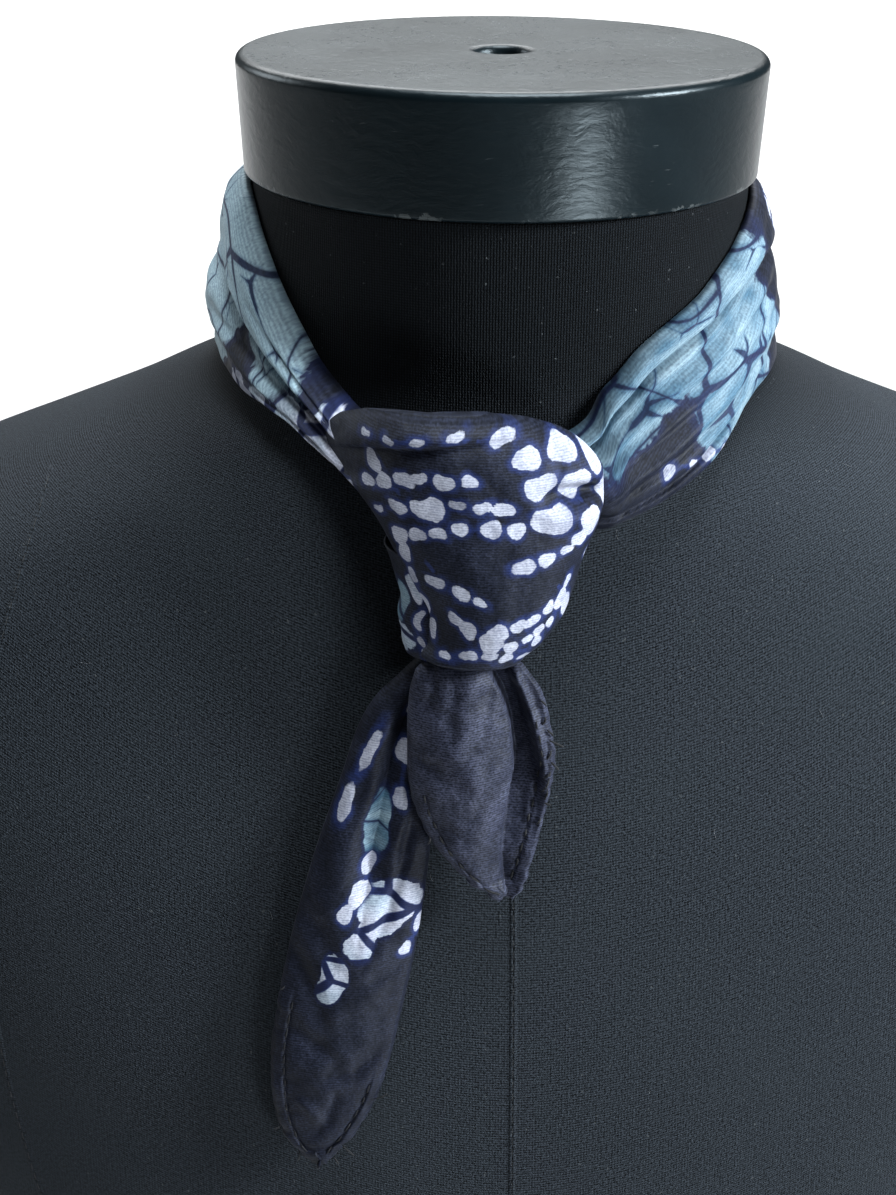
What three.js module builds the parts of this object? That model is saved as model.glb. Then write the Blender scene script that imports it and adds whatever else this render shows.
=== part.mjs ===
// Silk square scarf, knotted at the front, round the neck of a limbless dress form with a round neck cap.
// Millimetres, +Z up. The form faces -Y, and the origin is on the floor under the middle of the form.
// The scarf is one square of silk. Each stretch of it that shows is a wall in a piece of its own.

import * as THREE from 'three';

// Driving dimensions
const CAP_BASE_Z = 576;        // underside of the neck cap above the floor
const NECK_AXIS_Y = 7.5;       // neck axis behind the middle of the form
const CAP_RADIUS = 60;
const CAP_HEIGHT = 26;
const CAP_EDGE = 2;            // rounded upper edge of the cap
const CAP_TAPER = 1.1;         // how much smaller the cap is at its underside
const SOCKET_RADIUS = 6;       // shallow socket in the middle of the cap's top
const SOCKET_DEPTH = 3.5;
const CLOTH = 2;               // wall of folded silk
const GAP = 0.3;               // between touching pieces
const HEM_WIDTH = 3.2;         // rolled hem along the scarf's edge
const HEM_HEIGHT = 0.5;

const COLOURS = {
  jersey: { color: 0x17191b, roughness: 0.95 },
  cap: { color: 0x1b2124, roughness: 0.35, metalness: 0.05 },
  print: { color: 0x22202e, roughness: 0.6 },
  blue: { color: 0x8fb4c4, roughness: 0.6 },
  reverse: { color: 0x2b2833, roughness: 0.65 },
};

// Heights in the tables are measured down from the underside of the cap, x is from the neck axis

// Horizontal sections of the form: half width, depth in front of and behind the neck axis, and squareness
const FORM = table(['down', 'half', 'front', 'back', 'square'], [
  [0, 57, 57, 57, 2],
  [26, 57, 57, 58, 2],
  [35, 58.5, 57.6, 60.5, 2],
  [41, 63, 58.4, 64, 2],
  [46.5, 70, 59.6, 67.5, 2],
  [52.5, 84, 61.4, 72.5, 2.05],
  [58.5, 97, 63.4, 77, 2.1],
  [68, 121, 67, 83, 2.2],
  [77.5, 145, 71.2, 88, 2.3],
  [89, 167, 76.5, 92.5, 2.4],
  [104, 184, 83.5, 96, 2.4],
  [125, 194, 92.5, 100, 2.4],
  [150, 197, 101, 103, 2.35],
  [190, 190, 111, 104, 2.3],
  [240, 171, 119, 101, 2.2],
  [300, 149, 108, 91, 2.15],
  [350, 129, 92, 82, 2.1],
  [392, 120, 84, 77, 2.1],
  [440, 132, 90, 85, 2.1],
  [500, 155, 99, 97, 2.15],
  [550, 167, 103, 103, 2.2],
  [576, 168, 103, 103, 2.2],
]);

// The scarf round the neck, by the angle from the front, which grows past the left shoulder and the nape.
// top and low are its edges, main and roll how far its two folds stand off the neck, share is the upper
// fold's part of the height, and floor is how far the furrow between them stays off the neck.
const BAND = table(['turn', 'top', 'low', 'main', 'roll', 'share', 'floor'], [
  [27, 44.5, 51.6, 11, 11, 0.45, 8],
  [31, 43.5, 50, 10, 9.6, 0.45, 5.5],
  [36, 40.5, 47.8, 8.6, 7.6, 0.45, 3.5],
  [43, 36, 45, 7.8, 5.8, 0.46, 2.8],
  [50, 30, 43.7, 7.6, 5.6, 0.46, 2.8],
  [59, 21.5, 42.6, 7.6, 5.6, 0.46, 2.8],
  [68, 13, 41.2, 7.8, 5.6, 0.44, 3.2],
  [78, 5.5, 40.4, 8, 5.4, 0.4, 3.8],
  [95, 1.6, 40.4, 8.2, 5.2, 0.36, 4.2],
  [130, 3.5, 43, 7.8, 5.2, 0.36, 4],
  [180, 5.5, 45.6, 7.4, 5.2, 0.36, 3.6],
  [230, 4.5, 43.6, 6.6, 4.8, 0.36, 3.6],
  [265, 3.5, 41.6, 5, 4.2, 0.34, 3.2],
  [282, 6, 41.4, 4.8, 3.8, 0.3, 2.8],
  [292, 9.5, 41.8, 5.2, 3.6, 0.26, 2.4],
  [300, 13.5, 42.4, 5.8, 3.6, 0.24, 2.2],
  [308, 17.5, 44.2, 6.6, 3.6, 0.22, 2.2],
  [314, 21, 46.8, 7.2, 3.8, 0.21, 2.2],
  [325, 26, 53, 8, 4, 0.19, 2.4],
  [332, 30, 57, 8.8, 4.4, 0.18, 2.8],
  [337, 34.5, 59.4, 9.4, 5, 0.18, 3.4],
  [341, 38, 61, 10, 6, 0.18, 4.4],
  [344.4, 43.2, 62, 10.4, 7.2, 0.18, 5.4],
]);
// The stretches of the band. tuck is how many degrees further its edges run behind the knot at the far end
const BAND_STRETCHES = [
  { name: 'band_left', from: 27, to: 97, tuck: 0, along: 17, across: 17, colour: 'blue' },
  { name: 'band_back', from: 97, to: 263, tuck: 0, along: 18, across: 13, colour: 'print' },
  { name: 'band_right', from: 263, to: 344.4, tuck: 3, along: 19, across: 17, colour: 'blue' },
];
const BAND_EDGE = 1.8;         // the band's edges stand this far off the neck
const BAND_SEAM = 0.14;        // half the gap between two stretches, in degrees of turn

// The part of the scarf that wraps over the knot: outline from the front, and depth in front of the neck axis
const KNOT = table(['down', 'left', 'right', 'front', 'back', 'square'], [
  [35, -28, -6, 76, 70, 2],
  [36, -33, 1.5, 79.5, 66, 2.1],
  [38.5, -34.8, 9.5, 83, 63.2, 2.2],
  [42.5, -35, 15, 86, 62.2, 2.2],
  [47, -34.6, 18, 88, 62.2, 2.3],
  [52, -31.6, 18.2, 89.6, 63, 2.3],
  [57, -28.4, 17, 91.4, 64.6, 2.3],
  [62, -25.4, 14.4, 93.2, 66.6, 2.3],
  [68, -21.8, 12.2, 95.2, 69.2, 2.3],
  [73.5, -18.8, 9.8, 96.8, 72, 2.4],
  [78.5, -19, 5.6, 97.8, 74.4, 2.4],
  [81.5, -20.4, 2, 97.8, 75.6, 2.5],
]);
const KNOT_BEND = 0.004;       // how the knot curves back round the neck
const CORE_TOP = 40;           // hidden layers inside the knot
const CORE_LOW = 73;
// Furrow under the wrap's rolled upper edge, which fades out towards the right, and the dimple beside it
const FURROW = { left: -35, right: -2, down: 44, rise: 0.32, depth: 1.8, width: 2.2 };
const DIMPLE = { x: 11, down: 50, depth: 2.6, wide: 5.5, high: 2.8 };

// The layer that shows beyond the wrap's lower left edge: how far it stands out from the wrap
const UNDER = table(['down', 'out'], [
  [63, 0.6],
  [67, 1.5],
  [71, 3],
  [75, 4.6],
  [78.5, 3.6],
  [81.5, 1.9],
]);
const UNDER_CLOTH = 1.2;
const UNDER_FROM = 140;        // the layer's edges, by the angle round the knot
const UNDER_TO = 208;

// The two ends of the scarf: edges from the front, how far each stands off the chest, and the height of
// the rounded folds left and right of the furrow at split
const TAIL_LONG = table(['down', 'left', 'right', 'stand', 'leftFold', 'rightFold', 'split'], [
  [75, -14.5, -6, 8.6, 0.5, 0.5, 0.5],
  [82.8, -15.5, -7.5, 7.6, 0.8, 0.8, 0.5],
  [88, -23.5, -11.5, 7, 1.8, 1, 0.55],
  [93, -29, -13, 6, 3, 1.2, 0.5],
  [99, -32.7, -14.5, 5, 3.8, 1.8, 0.5],
  [109, -36.4, -16.3, 4.2, 4, 2.2, 0.48],
  [125, -42.4, -18, 3.6, 4, 2.6, 0.5],
  [143, -47.6, -20.8, 3.2, 3.4, 2.4, 0.52],
  [158, -50.8, -24.2, 3, 2.8, 2, 0.52],
  [170, -52.3, -27.2, 3, 2.4, 1.6, 0.5],
  [178.5, -51.8, -30.4, 3, 2, 1.4, 0.5],
  [184.5, -50, -34.2, 3, 1.6, 1.2, 0.5],
  [189, -47.2, -37.8, 3.2, 1, 0.8, 0.5],
  [192, -44, -40, 3.4, 0.4, 0.4, 0.5],
]);
const TAIL_SHORT = table(['down', 'left', 'right', 'stand', 'leftFold', 'rightFold', 'split'], [
  [75, -13, -4, 14.8, 0.6, 0.6, 0.6],
  [82.9, -14.5, -3, 14.8, 0.8, 0.8, 0.62],
  [85.2, -21.2, 2, 16.2, 2.6, 2.2, 0.66],
  [90, -22.2, 5.5, 14.2, 4, 3.2, 0.7],
  [97, -22.6, 7.4, 12.4, 4.6, 3.4, 0.72],
  [104, -22.6, 8.2, 11, 4.6, 2.6, 0.72],
  [110, -21.8, 7.2, 10, 4.2, 1.8, 0.7],
  [116, -19.6, 5.6, 9, 3.6, 1.2, 0.68],
  [123, -15, 3.6, 8.2, 2.8, 0.9, 0.64],
  [128.5, -9.2, 1.7, 7.6, 1.6, 0.7, 0.6],
  [132, -4.8, -0.4, 7.2, 0.5, 0.4, 0.5],
]);

// Reads a table's columns at any place between its rows, along smooth curves with no overshoot
function table(columns, rows) {
  const keys = rows.map((row) => row[0]);
  const slopes = columns.map((_, c) => rows.map((row, i) => {
    const before = i > 0 ? (row[c] - rows[i - 1][c]) / (keys[i] - keys[i - 1]) : 0;
    const after = i < rows.length - 1 ? (rows[i + 1][c] - row[c]) / (keys[i + 1] - keys[i]) : 0;
    return before * after > 0 ? 2 * before * after / (before + after) : 0;
  }));
  const at = (key) => {
    const last = rows.length - 2;
    const i = Math.min(last, Math.max(0, keys.findIndex((k) => k > key) - 1 + (key >= keys.at(-1)) * rows.length));
    const width = keys[i + 1] - keys[i];
    const t = Math.min(1, Math.max(0, (key - keys[i]) / width));
    const blend = t * t * (3 - 2 * t);
    const out = {};
    columns.forEach((name, c) => {
      const ease = width * t * (1 - t) * (slopes[c][i] * (1 - t) - slopes[c][i + 1] * t);
      out[name] = rows[i][c] * (1 - blend) + rows[i + 1][c] * blend + ease;
    });
    return out;
  };
  return { at, first: keys[0], last: keys.at(-1), keys };
}

const radians = THREE.MathUtils.degToRad;
const place = (x, y, down) => new THREE.Vector3(x, NECK_AXIS_Y + y, CAP_BASE_Z - down);
const spread = (from, to, count) => Array.from({ length: count }, (_, i) => from + (to - from) * i / (count - 1));
const power = (value, exponent) => Math.sign(value) * Math.abs(value) ** exponent;

// A point of a section that is a rounded rectangle to an ellipse, by the angle round it
function sectionPoint(angle, half, front, back, square) {
  const x = half * power(Math.cos(angle), 2 / square);
  const depth = Math.sin(angle) < 0 ? front : back;
  return [x, depth * power(Math.sin(angle), 2 / square)];
}

// How far the form's surface lies from the neck axis in one direction
function formRadius(turn, down) {
  const s = FORM.at(down);
  const across = Math.abs(Math.sin(radians(turn))) / s.half;
  const ahead = Math.cos(radians(turn));
  const along = Math.abs(ahead) / (ahead > 0 ? s.front : s.back);
  return (across ** s.square + along ** s.square) ** (-1 / s.square);
}

// How far the form's front lies in front of the neck axis at one place
function formFront(x, down) {
  const s = FORM.at(down);
  return s.front * (1 - (Math.abs(x) / s.half) ** s.square) ** (1 / s.square);
}

// A closed body from a list of faces, turned so that its faces point out
function body(points, faces) {
  let volume = 0;
  for (const [a, b, c] of faces) {
    volume += points[a].dot(new THREE.Vector3().crossVectors(points[b], points[c]));
  }
  const index = faces.flatMap(([a, b, c]) => (volume > 0 ? [a, b, c] : [a, c, b]));
  const geometry = new THREE.BufferGeometry();
  geometry.setAttribute('position', new THREE.Float32BufferAttribute(points.flatMap((p) => p.toArray()), 3));
  geometry.setIndex(index);
  geometry.computeVertexNormals();
  return geometry;
}

// A body through closed rings, with a fan over each end
function loft(rings) {
  const count = rings[0].length;
  const points = rings.flat();
  const faces = [];
  for (let i = 0; i < rings.length - 1; i += 1) {
    for (let j = 0; j < count; j += 1) {
      const a = i * count + j;
      const b = i * count + (j + 1) % count;
      faces.push([a, b, b + count], [a, b + count, a + count]);
    }
  }
  for (const end of [0, rings.length - 1]) {
    const centre = rings[end].reduce((sum, p) => sum.add(p), new THREE.Vector3()).divideScalar(count);
    points.push(centre);
    for (let j = 0; j < count; j += 1) {
      const a = end * count + j;
      const b = end * count + (j + 1) % count;
      faces.push(end === 0 ? [points.length - 1, b, a] : [points.length - 1, a, b]);
    }
  }
  return body(points, faces);
}

// The unit normals of a grid of points, on the side away from the form
function gridNormals(grid) {
  const rows = grid.length;
  const columns = grid[0].length;
  return grid.map((row, i) => row.map((_, j) => {
    const along = grid[Math.min(i + 1, rows - 1)][j].clone().sub(grid[Math.max(i - 1, 0)][j]);
    const across = row[Math.min(j + 1, columns - 1)].clone().sub(row[Math.max(j - 1, 0)]);
    return along.cross(across).normalize();
  }));
}

// A wall of cloth: a grid of points on its inner side, and the same points moved out by its thickness
function wall(grid, thickness) {
  const normals = gridNormals(grid);
  const rows = grid.length;
  const columns = grid[0].length;
  const outer = grid.map((row, i) => row.map((p, j) => p.clone().addScaledVector(normals[i][j], thickness)));
  const points = [...grid.flat(), ...outer.flat()];
  const at = (layer, i, j) => layer * rows * columns + i * columns + j;
  const faces = [];
  const quad = (a, b, c, d) => faces.push([a, b, c], [a, c, d]);
  for (let i = 0; i < rows - 1; i += 1) {
    for (let j = 0; j < columns - 1; j += 1) {
      quad(at(0, i, j), at(0, i + 1, j), at(0, i + 1, j + 1), at(0, i, j + 1));
      quad(at(1, i, j), at(1, i, j + 1), at(1, i + 1, j + 1), at(1, i + 1, j));
    }
  }
  for (let i = 0; i < rows - 1; i += 1) {
    quad(at(0, i, 0), at(1, i, 0), at(1, i + 1, 0), at(0, i + 1, 0));
    quad(at(0, i, columns - 1), at(0, i + 1, columns - 1), at(1, i + 1, columns - 1), at(1, i, columns - 1));
  }
  for (let j = 0; j < columns - 1; j += 1) {
    quad(at(0, 0, j), at(0, 0, j + 1), at(1, 0, j + 1), at(1, 0, j));
    quad(at(0, rows - 1, j), at(1, rows - 1, j), at(1, rows - 1, j + 1), at(0, rows - 1, j + 1));
  }
  return body(points, faces);
}

// Places from 0 to 1 that lie closer together near both ends
function closeAtEnds(count) {
  return spread(0, Math.PI, count).map((a) => (1 - Math.cos(a)) / 2);
}

// A table's keys with the middle of each step between them
function halved(keys) {
  return keys.flatMap((key, i) => (i > 0 ? [(keys[i - 1] + key) / 2, key] : [key]));
}

// The form: neck, shoulders and torso in one smooth body, flat underneath
function formTorso() {
  const sides = 44;
  return loft(halved([GAP, ...FORM.keys.slice(1)]).map((down) => {
    const s = FORM.at(down);
    return spread(0, 2 * Math.PI, sides + 1).slice(0, -1).map((angle) => {
      const [x, y] = sectionPoint(angle, s.half, s.front, s.back, s.square);
      return place(x, y, down);
    });
  }));
}

// The neck cap: a turned disc with a rounded upper edge and a shallow socket in its top
function neckCap() {
  const segments = 52;
  const foot = CAP_RADIUS - CAP_TAPER;
  const profile = [
    [0, 0],
    [foot - 0.6, 0],
    [foot, 0.6],
    [CAP_RADIUS, CAP_HEIGHT - CAP_EDGE],
    [CAP_RADIUS - 0.3 * CAP_EDGE, CAP_HEIGHT - 0.3 * CAP_EDGE],
    [CAP_RADIUS - CAP_EDGE, CAP_HEIGHT],
    [SOCKET_RADIUS + 1.5, CAP_HEIGHT],
    [SOCKET_RADIUS, CAP_HEIGHT - 1],
    [SOCKET_RADIUS - 1, CAP_HEIGHT - SOCKET_DEPTH],
    [0, CAP_HEIGHT - SOCKET_DEPTH],
  ];
  const geometry = new THREE.LatheGeometry(profile.map(([r, z]) => new THREE.Vector2(r, z)), segments);
  geometry.rotateX(Math.PI / 2);
  geometry.translate(0, NECK_AXIS_Y, CAP_BASE_Z);
  return geometry;
}

// A point on the inner side of the scarf where it goes round the neck; v runs from its upper to its lower edge
function bandPoint(turn, v) {
  const b = BAND.at(turn);
  const down = b.top + (b.low - b.top) * v;
  const base = Math.sin(Math.PI * v) ** 0.5;
  const upper = v < b.share;
  const t = upper ? v / b.share : (v - b.share) / (1 - b.share);
  const stand = (upper ? b.roll : b.main) - b.floor;
  const out = BAND_EDGE + b.floor * base + stand * Math.sin(Math.PI * t) ** 0.75;
  const r = formRadius(turn, down) + out;
  return place(-r * Math.sin(radians(turn)), -r * Math.cos(radians(turn)), down);
}

function bandStretch({ from, to, tuck, along, across }) {
  const start = from > BAND.first ? from + BAND_SEAM : from;
  const end = to < BAND.last ? to - BAND_SEAM : to;
  const grid = spread(0, 1, along).map((u) => closeAtEnds(across).map((v) => {
    const further = tuck * (2 * v - 1) ** 2 * u ** 8;
    return bandPoint(start + (end - start) * u + further, v);
  }));
  return wall(grid, CLOTH);
}

// How far the knot's front is drawn in at one place, by its furrow and its dimple
function knotDent(x, down) {
  const along = (x - FURROW.left) / (FURROW.right - FURROW.left);
  const fade = Math.max(0, 1 - along) ** 0.7;
  const off = (down - FURROW.down + FURROW.rise * (x - FURROW.left)) / FURROW.width;
  const beside = ((x - DIMPLE.x) / DIMPLE.wide) ** 2 + ((down - DIMPLE.down) / DIMPLE.high) ** 2;
  return FURROW.depth * fade * Math.exp(-off * off) + DIMPLE.depth * Math.exp(-beside);
}

// A point of the knot by its height and the angle round it, drawn in by inset
function knotPoint(down, angle, inset, level = down) {
  const s = KNOT.at(down);
  const middle = (s.front + s.back) / 2;
  const half = Math.max((s.right - s.left) / 2 - inset, 0.5);
  const centre = (s.right + s.left) / 2;
  const depth = Math.max((s.front - s.back) / 2 - inset, 0.4);
  const [x, y] = sectionPoint(angle, half, depth, depth, s.square);
  const dent = y < 0 ? knotDent(centre + x, down) * Math.min(1, -2 * y / depth) : 0;
  return place(centre + x, -middle + y + dent + KNOT_BEND * x * x, level);
}

function knotRing(down, inset, sides, level = down) {
  return spread(0, 2 * Math.PI, sides + 1).slice(0, -1).map((angle) => knotPoint(down, angle, inset, level));
}

// The wrap: a shell that is closed over the knot's top and open below, where the ends come out
function knotWrap() {
  const sides = 36;
  const outerLevels = [35, 36, 38.5, 41, 43.5, 45.5, 47.5, 49.5, 51.5, 54, 58, 63, 68, 73.5, 78.5, 81.5];
  const innerLevels = [38.5, 41, 43.5, 46.5, 49.5, 52.5, 58, 63, 68, 73.5, 78.5, 81.5];
  const outer = outerLevels.map((down) => knotRing(down, 0, sides));
  const inner = innerLevels.map((down, i) => knotRing(down, CLOTH, sides, i === 0 ? down + 0.3 : down));
  return loft([...inner, ...outer.reverse()]);
}

function knotCore() {
  const sides = 24;
  return loft(spread(CORE_TOP, CORE_LOW, 9).map((down) => knotRing(down, CLOTH + 4 * GAP, sides)));
}

function knotUnder() {
  const grid = spread(UNDER.first, UNDER.last, 9).map((down) => {
    const { out } = UNDER.at(down);
    return spread(UNDER_FROM, UNDER_TO, 8).map((angle) => knotPoint(Math.min(down, KNOT.last), radians(angle), -out, down));
  });
  return wall(grid, UNDER_CLOTH);
}

// A point on the inner side of a hanging end of the scarf; v runs from its left to its right edge
function tailPoint(tail, down, v) {
  const s = tail.at(down);
  const x = s.left + (s.right - s.left) * v;
  const onLeft = v < s.split;
  const t = onLeft ? v / s.split : (v - s.split) / (1 - s.split);
  const fold = (onLeft ? s.leftFold : s.rightFold) * Math.sin(Math.PI * t) ** 0.8;
  const edge = Math.min(x - s.left, s.right - x, (tail.last - down) * 0.7);
  const hem = edge < HEM_WIDTH && down > tail.first + 20 ? HEM_HEIGHT : 0;
  return place(x, -(formFront(x, down) + s.stand + fold + hem), down);
}

function tailEnd(tail, columns) {
  const grid = halved(tail.keys).map((down) => closeAtEnds(columns).map((v) => tailPoint(tail, down, v)));
  return wall(grid, CLOTH);
}

function piece(name, geometry, finish) {
  const mesh = new THREE.Mesh(geometry, new THREE.MeshStandardMaterial(COLOURS[finish]));
  mesh.name = name;
  return mesh;
}

const group = new THREE.Group();
group.add(piece('form_torso', formTorso(), 'jersey'));
group.add(piece('neck_cap', neckCap(), 'cap'));
for (const stretch of BAND_STRETCHES) {
  group.add(piece(stretch.name, bandStretch(stretch), stretch.colour));
}
group.add(piece('knot_wrap', knotWrap(), 'print'));
group.add(piece('knot_core', knotCore(), 'print'));
group.add(piece('knot_under', knotUnder(), 'print'));
group.add(piece('tail_long', tailEnd(TAIL_LONG, 15), 'print'));
group.add(piece('tail_short', tailEnd(TAIL_SHORT, 17), 'reverse'));

export default group;
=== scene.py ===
# Looks of a silk square scarf, knotted round the neck of a limbless dress form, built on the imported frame.
# Blender 4.5, metres. Tables and shapes are in millimetres and turned into metres when a mesh is made.

import math

import bmesh
import bpy
import numpy as np
from mathutils import Matrix, Vector


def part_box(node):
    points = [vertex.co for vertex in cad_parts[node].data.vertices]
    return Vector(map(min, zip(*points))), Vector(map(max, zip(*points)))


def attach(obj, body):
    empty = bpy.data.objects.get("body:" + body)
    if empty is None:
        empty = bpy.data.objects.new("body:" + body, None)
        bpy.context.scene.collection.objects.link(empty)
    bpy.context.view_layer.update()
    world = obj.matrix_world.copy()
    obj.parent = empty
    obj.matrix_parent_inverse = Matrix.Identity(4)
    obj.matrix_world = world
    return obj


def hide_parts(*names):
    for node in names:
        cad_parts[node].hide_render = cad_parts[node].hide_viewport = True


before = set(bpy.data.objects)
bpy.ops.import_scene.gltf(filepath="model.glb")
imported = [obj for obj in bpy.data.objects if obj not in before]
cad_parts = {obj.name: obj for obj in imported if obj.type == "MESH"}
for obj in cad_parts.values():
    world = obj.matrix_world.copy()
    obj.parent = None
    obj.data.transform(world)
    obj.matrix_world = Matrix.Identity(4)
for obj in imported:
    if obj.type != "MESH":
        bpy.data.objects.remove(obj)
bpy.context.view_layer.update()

# Sizes from the frame
MM = 0.001
cap_low, cap_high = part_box("neck_cap")
CAP_BASE_Z = cap_low.z / MM
NECK_AXIS_Y = (cap_low.y + cap_high.y) / 2 / MM
CAP_RADIUS = (cap_high.x - cap_low.x) / 2 / MM
CAP_HEIGHT = (cap_high.z - cap_low.z) / MM
FORM_TOP = CAP_BASE_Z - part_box("form_torso")[1].z / MM
FORM_LOW = CAP_BASE_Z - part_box("form_torso")[0].z / MM

# Camera, placed from the middle of the cap's underside
PHOTO_HEIGHT_PX = 1195
FOCAL_PX = 1860
SENSOR = 36
CAMERA = {"x": -25.2, "y": -432, "up": 87, "pitch": 24.46, "yaw": -1.84, "roll": 0.4}

# Cloth
WALL = 2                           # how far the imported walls' outer side lies from their inner side
SILK = 0.7                         # thickness of the shells
UV_SCALE = 0.01                    # UV units in a millimetre


def named(columns, rows):
    """A table's rows, each with its values under the columns' names."""
    return [dict(zip(columns, row)) for row in rows]


def table(columns, rows):
    """Reads a table's columns at any place between its rows, along smooth curves with no overshoot."""
    data = np.array(rows, float)
    keys = data[:, 0]
    steps = np.diff(data, axis=0) / np.diff(keys)[:, None]
    slopes = np.zeros_like(data)
    before = steps[:-1]
    after = steps[1:]
    same_way = before * after > 0
    total = np.where(same_way, before + after, 1)
    slopes[1:-1] = np.where(same_way, 2 * before * after / total, 0)

    def at(key):
        key = np.asarray(key, float)
        i = np.clip(np.searchsorted(keys, key, side="right") - 1, 0, len(keys) - 2)
        width = keys[i + 1] - keys[i]
        t = np.clip((key - keys[i]) / width, 0, 1)
        blend = t * t * (3 - 2 * t)
        found = {}
        for c, name in enumerate(columns):
            ease = width * t * (1 - t) * (slopes[i, c] * (1 - t) - slopes[i + 1, c] * t)
            found[name] = data[i, c] * (1 - blend) + data[i + 1, c] * blend + ease
        return found

    return at


# Horizontal sections of the form, by millimetres down from the cap's underside
FORM = table(["down", "half", "front", "back", "square"], [
    [0, 57, 57, 57, 2],
    [26, 57, 57, 58, 2],
    [35, 58.5, 57.6, 60.5, 2],
    [41, 63, 58.4, 64, 2],
    [46.5, 70, 59.6, 67.5, 2],
    [52.5, 84, 61.4, 72.5, 2.05],
    [58.5, 97, 63.4, 77, 2.1],
    [68, 121, 67, 83, 2.2],
    [77.5, 145, 71.2, 88, 2.3],
    [89, 167, 76.5, 92.5, 2.4],
    [104, 184, 83.5, 96, 2.4],
    [125, 194, 92.5, 100, 2.4],
    [150, 197, 101, 103, 2.35],
    [190, 190, 111, 104, 2.3],
    [240, 171, 119, 101, 2.2],
    [300, 149, 108, 91, 2.15],
    [350, 129, 92, 82, 2.1],
    [392, 120, 84, 77, 2.1],
    [440, 132, 90, 85, 2.1],
    [500, 155, 99, 97, 2.15],
    [550, 167, 103, 103, 2.2],
    [576, 168, 103, 103, 2.2],
])

# The scarf round the neck, by the angle from the front past the form's right side, then the nape
BAND = table(["turn", "top", "low", "main", "roll", "share", "floor"], [
    [22, 45.5, 51.5, 10, 10, 0.45, 9],
    [27, 44.5, 51.6, 11, 11, 0.45, 8],
    [31, 43.5, 50, 10, 9.6, 0.45, 5.5],
    [36, 40.5, 47.8, 8.6, 7.6, 0.45, 3.5],
    [43, 36, 45, 7.8, 6.4, 0.46, 2.8],
    [50, 30, 43.7, 7.6, 6.6, 0.46, 2.8],
    [59, 21.5, 42.6, 7.6, 6.8, 0.46, 2.8],
    [68, 13, 41.2, 7.8, 6.6, 0.44, 3.2],
    [78, 5.5, 40.4, 8, 5.4, 0.4, 3.8],
    [95, 1.6, 40.4, 8.2, 5.2, 0.36, 4.2],
    [130, 3.5, 43, 7.8, 5.2, 0.36, 4],
    [180, 5.5, 45.6, 7.4, 5.2, 0.36, 3.6],
    [230, 4.5, 43.6, 6.6, 4.8, 0.36, 3.6],
    [265, 3.5, 41.6, 5, 4.2, 0.34, 3.2],
    [282, 6, 41.4, 4.8, 3.8, 0.3, 2.8],
    [292, 9.5, 41.8, 5.2, 3.6, 0.26, 2.4],
    [300, 13.5, 42.4, 5.8, 3.6, 0.24, 2.2],
    [308, 17.5, 44.2, 6.6, 3.6, 0.22, 2.2],
    [314, 21, 46.8, 7.2, 3.8, 0.21, 2.2],
    [325, 26, 53, 8, 4, 0.19, 2.4],
    [332, 30, 57, 8.8, 4.4, 0.18, 2.8],
    [337, 34.5, 59.4, 9.4, 5, 0.18, 3.4],
    [341, 38, 61, 10, 6, 0.18, 4.4],
    [344.4, 43.2, 62, 10.4, 7.2, 0.18, 5.4],
    [350, 46, 62, 9, 7.2, 0.2, 5.4],
])
BAND_FROM = 23
BAND_TO = 349
BAND_LIFT = 1.5                    # how far the band's rounded upper edge rises over the table's top
BAND_SINK = 1.1                    # and how far its lower edge reaches below the table's low
BAND_SNUG = 0.5                    # its edges lie this far off the neck

# The wrap over the knot: outline from the front, and depth in front of the neck axis
KNOT = table(["down", "left", "right", "front", "back", "square", "tip"], [
    [35, -31, -6, 76, 70, 2, 1.5],
    [36, -36, 1.5, 79.5, 66, 2, 1.4],
    [38.5, -39, 9.5, 83, 63.2, 2, 1.3],
    [42.5, -40, 15, 86, 62.2, 2, 1.25],
    [47, -37.5, 18, 88, 62.2, 2.1, 1.4],
    [52, -32.6, 18.2, 89.6, 63, 2.3, 1.9],
    [57, -28.4, 17, 91.4, 64.6, 2.3, 2.3],
    [62, -25.4, 14.4, 93.2, 66.6, 2.3, 2.3],
    [68, -21.8, 12.2, 95.2, 69.2, 2.3, 2.3],
    [73.5, -18.8, 9.8, 96.8, 72, 2.4, 2.4],
    [78.5, -19, 5.6, 97.8, 74.4, 2.4, 2.4],
    [81.5, -20.4, 2, 97.8, 75.6, 2.5, 2.5],
])
KNOT_TOP = 35
KNOT_LOW = 81.5
KNOT_BEND = 0.004                  # how the front curves back to its sides
KNOT_SLOPE = 3.4                   # how far the wrap's top falls away to the back
# The fold that overlaps at the wrap's upper left, the dimple on its right, and the tuck behind its left tip
FURROW = {
    "left": -38, "right": 2, "down": 42.5, "rise": 0.13, "over": 1.2, "crest": 2.0, "round": 2.4,
    "edge": 0.35, "under": 1.9, "reach": 3.2, "heel": 0.3,
}
DIMPLE = {"x": 12.5, "down": 49.5, "depth": 5, "wide": 6.5, "high": 1.9, "tilt": -0.12}
DIMPLE_RIDGE = {"height": 0.9, "below": 4.2, "high": 2.0}
TUCK = {"x": -22, "curve": 0.034, "drop": 0.45, "from": 46, "to": 54}

# How far the layer under the wrap comes out beyond it, and where it shows
UNDER = table(["down", "out"], [
    [62, 0.8],
    [67, 1.9],
    [71, 3.2],
    [75, 4.6],
    [78.5, 3.8],
    [82.5, 1.6],
])
UNDER_ANGLES = (140, 208)
UNDER_LEVELS = (62, 82.5)

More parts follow.
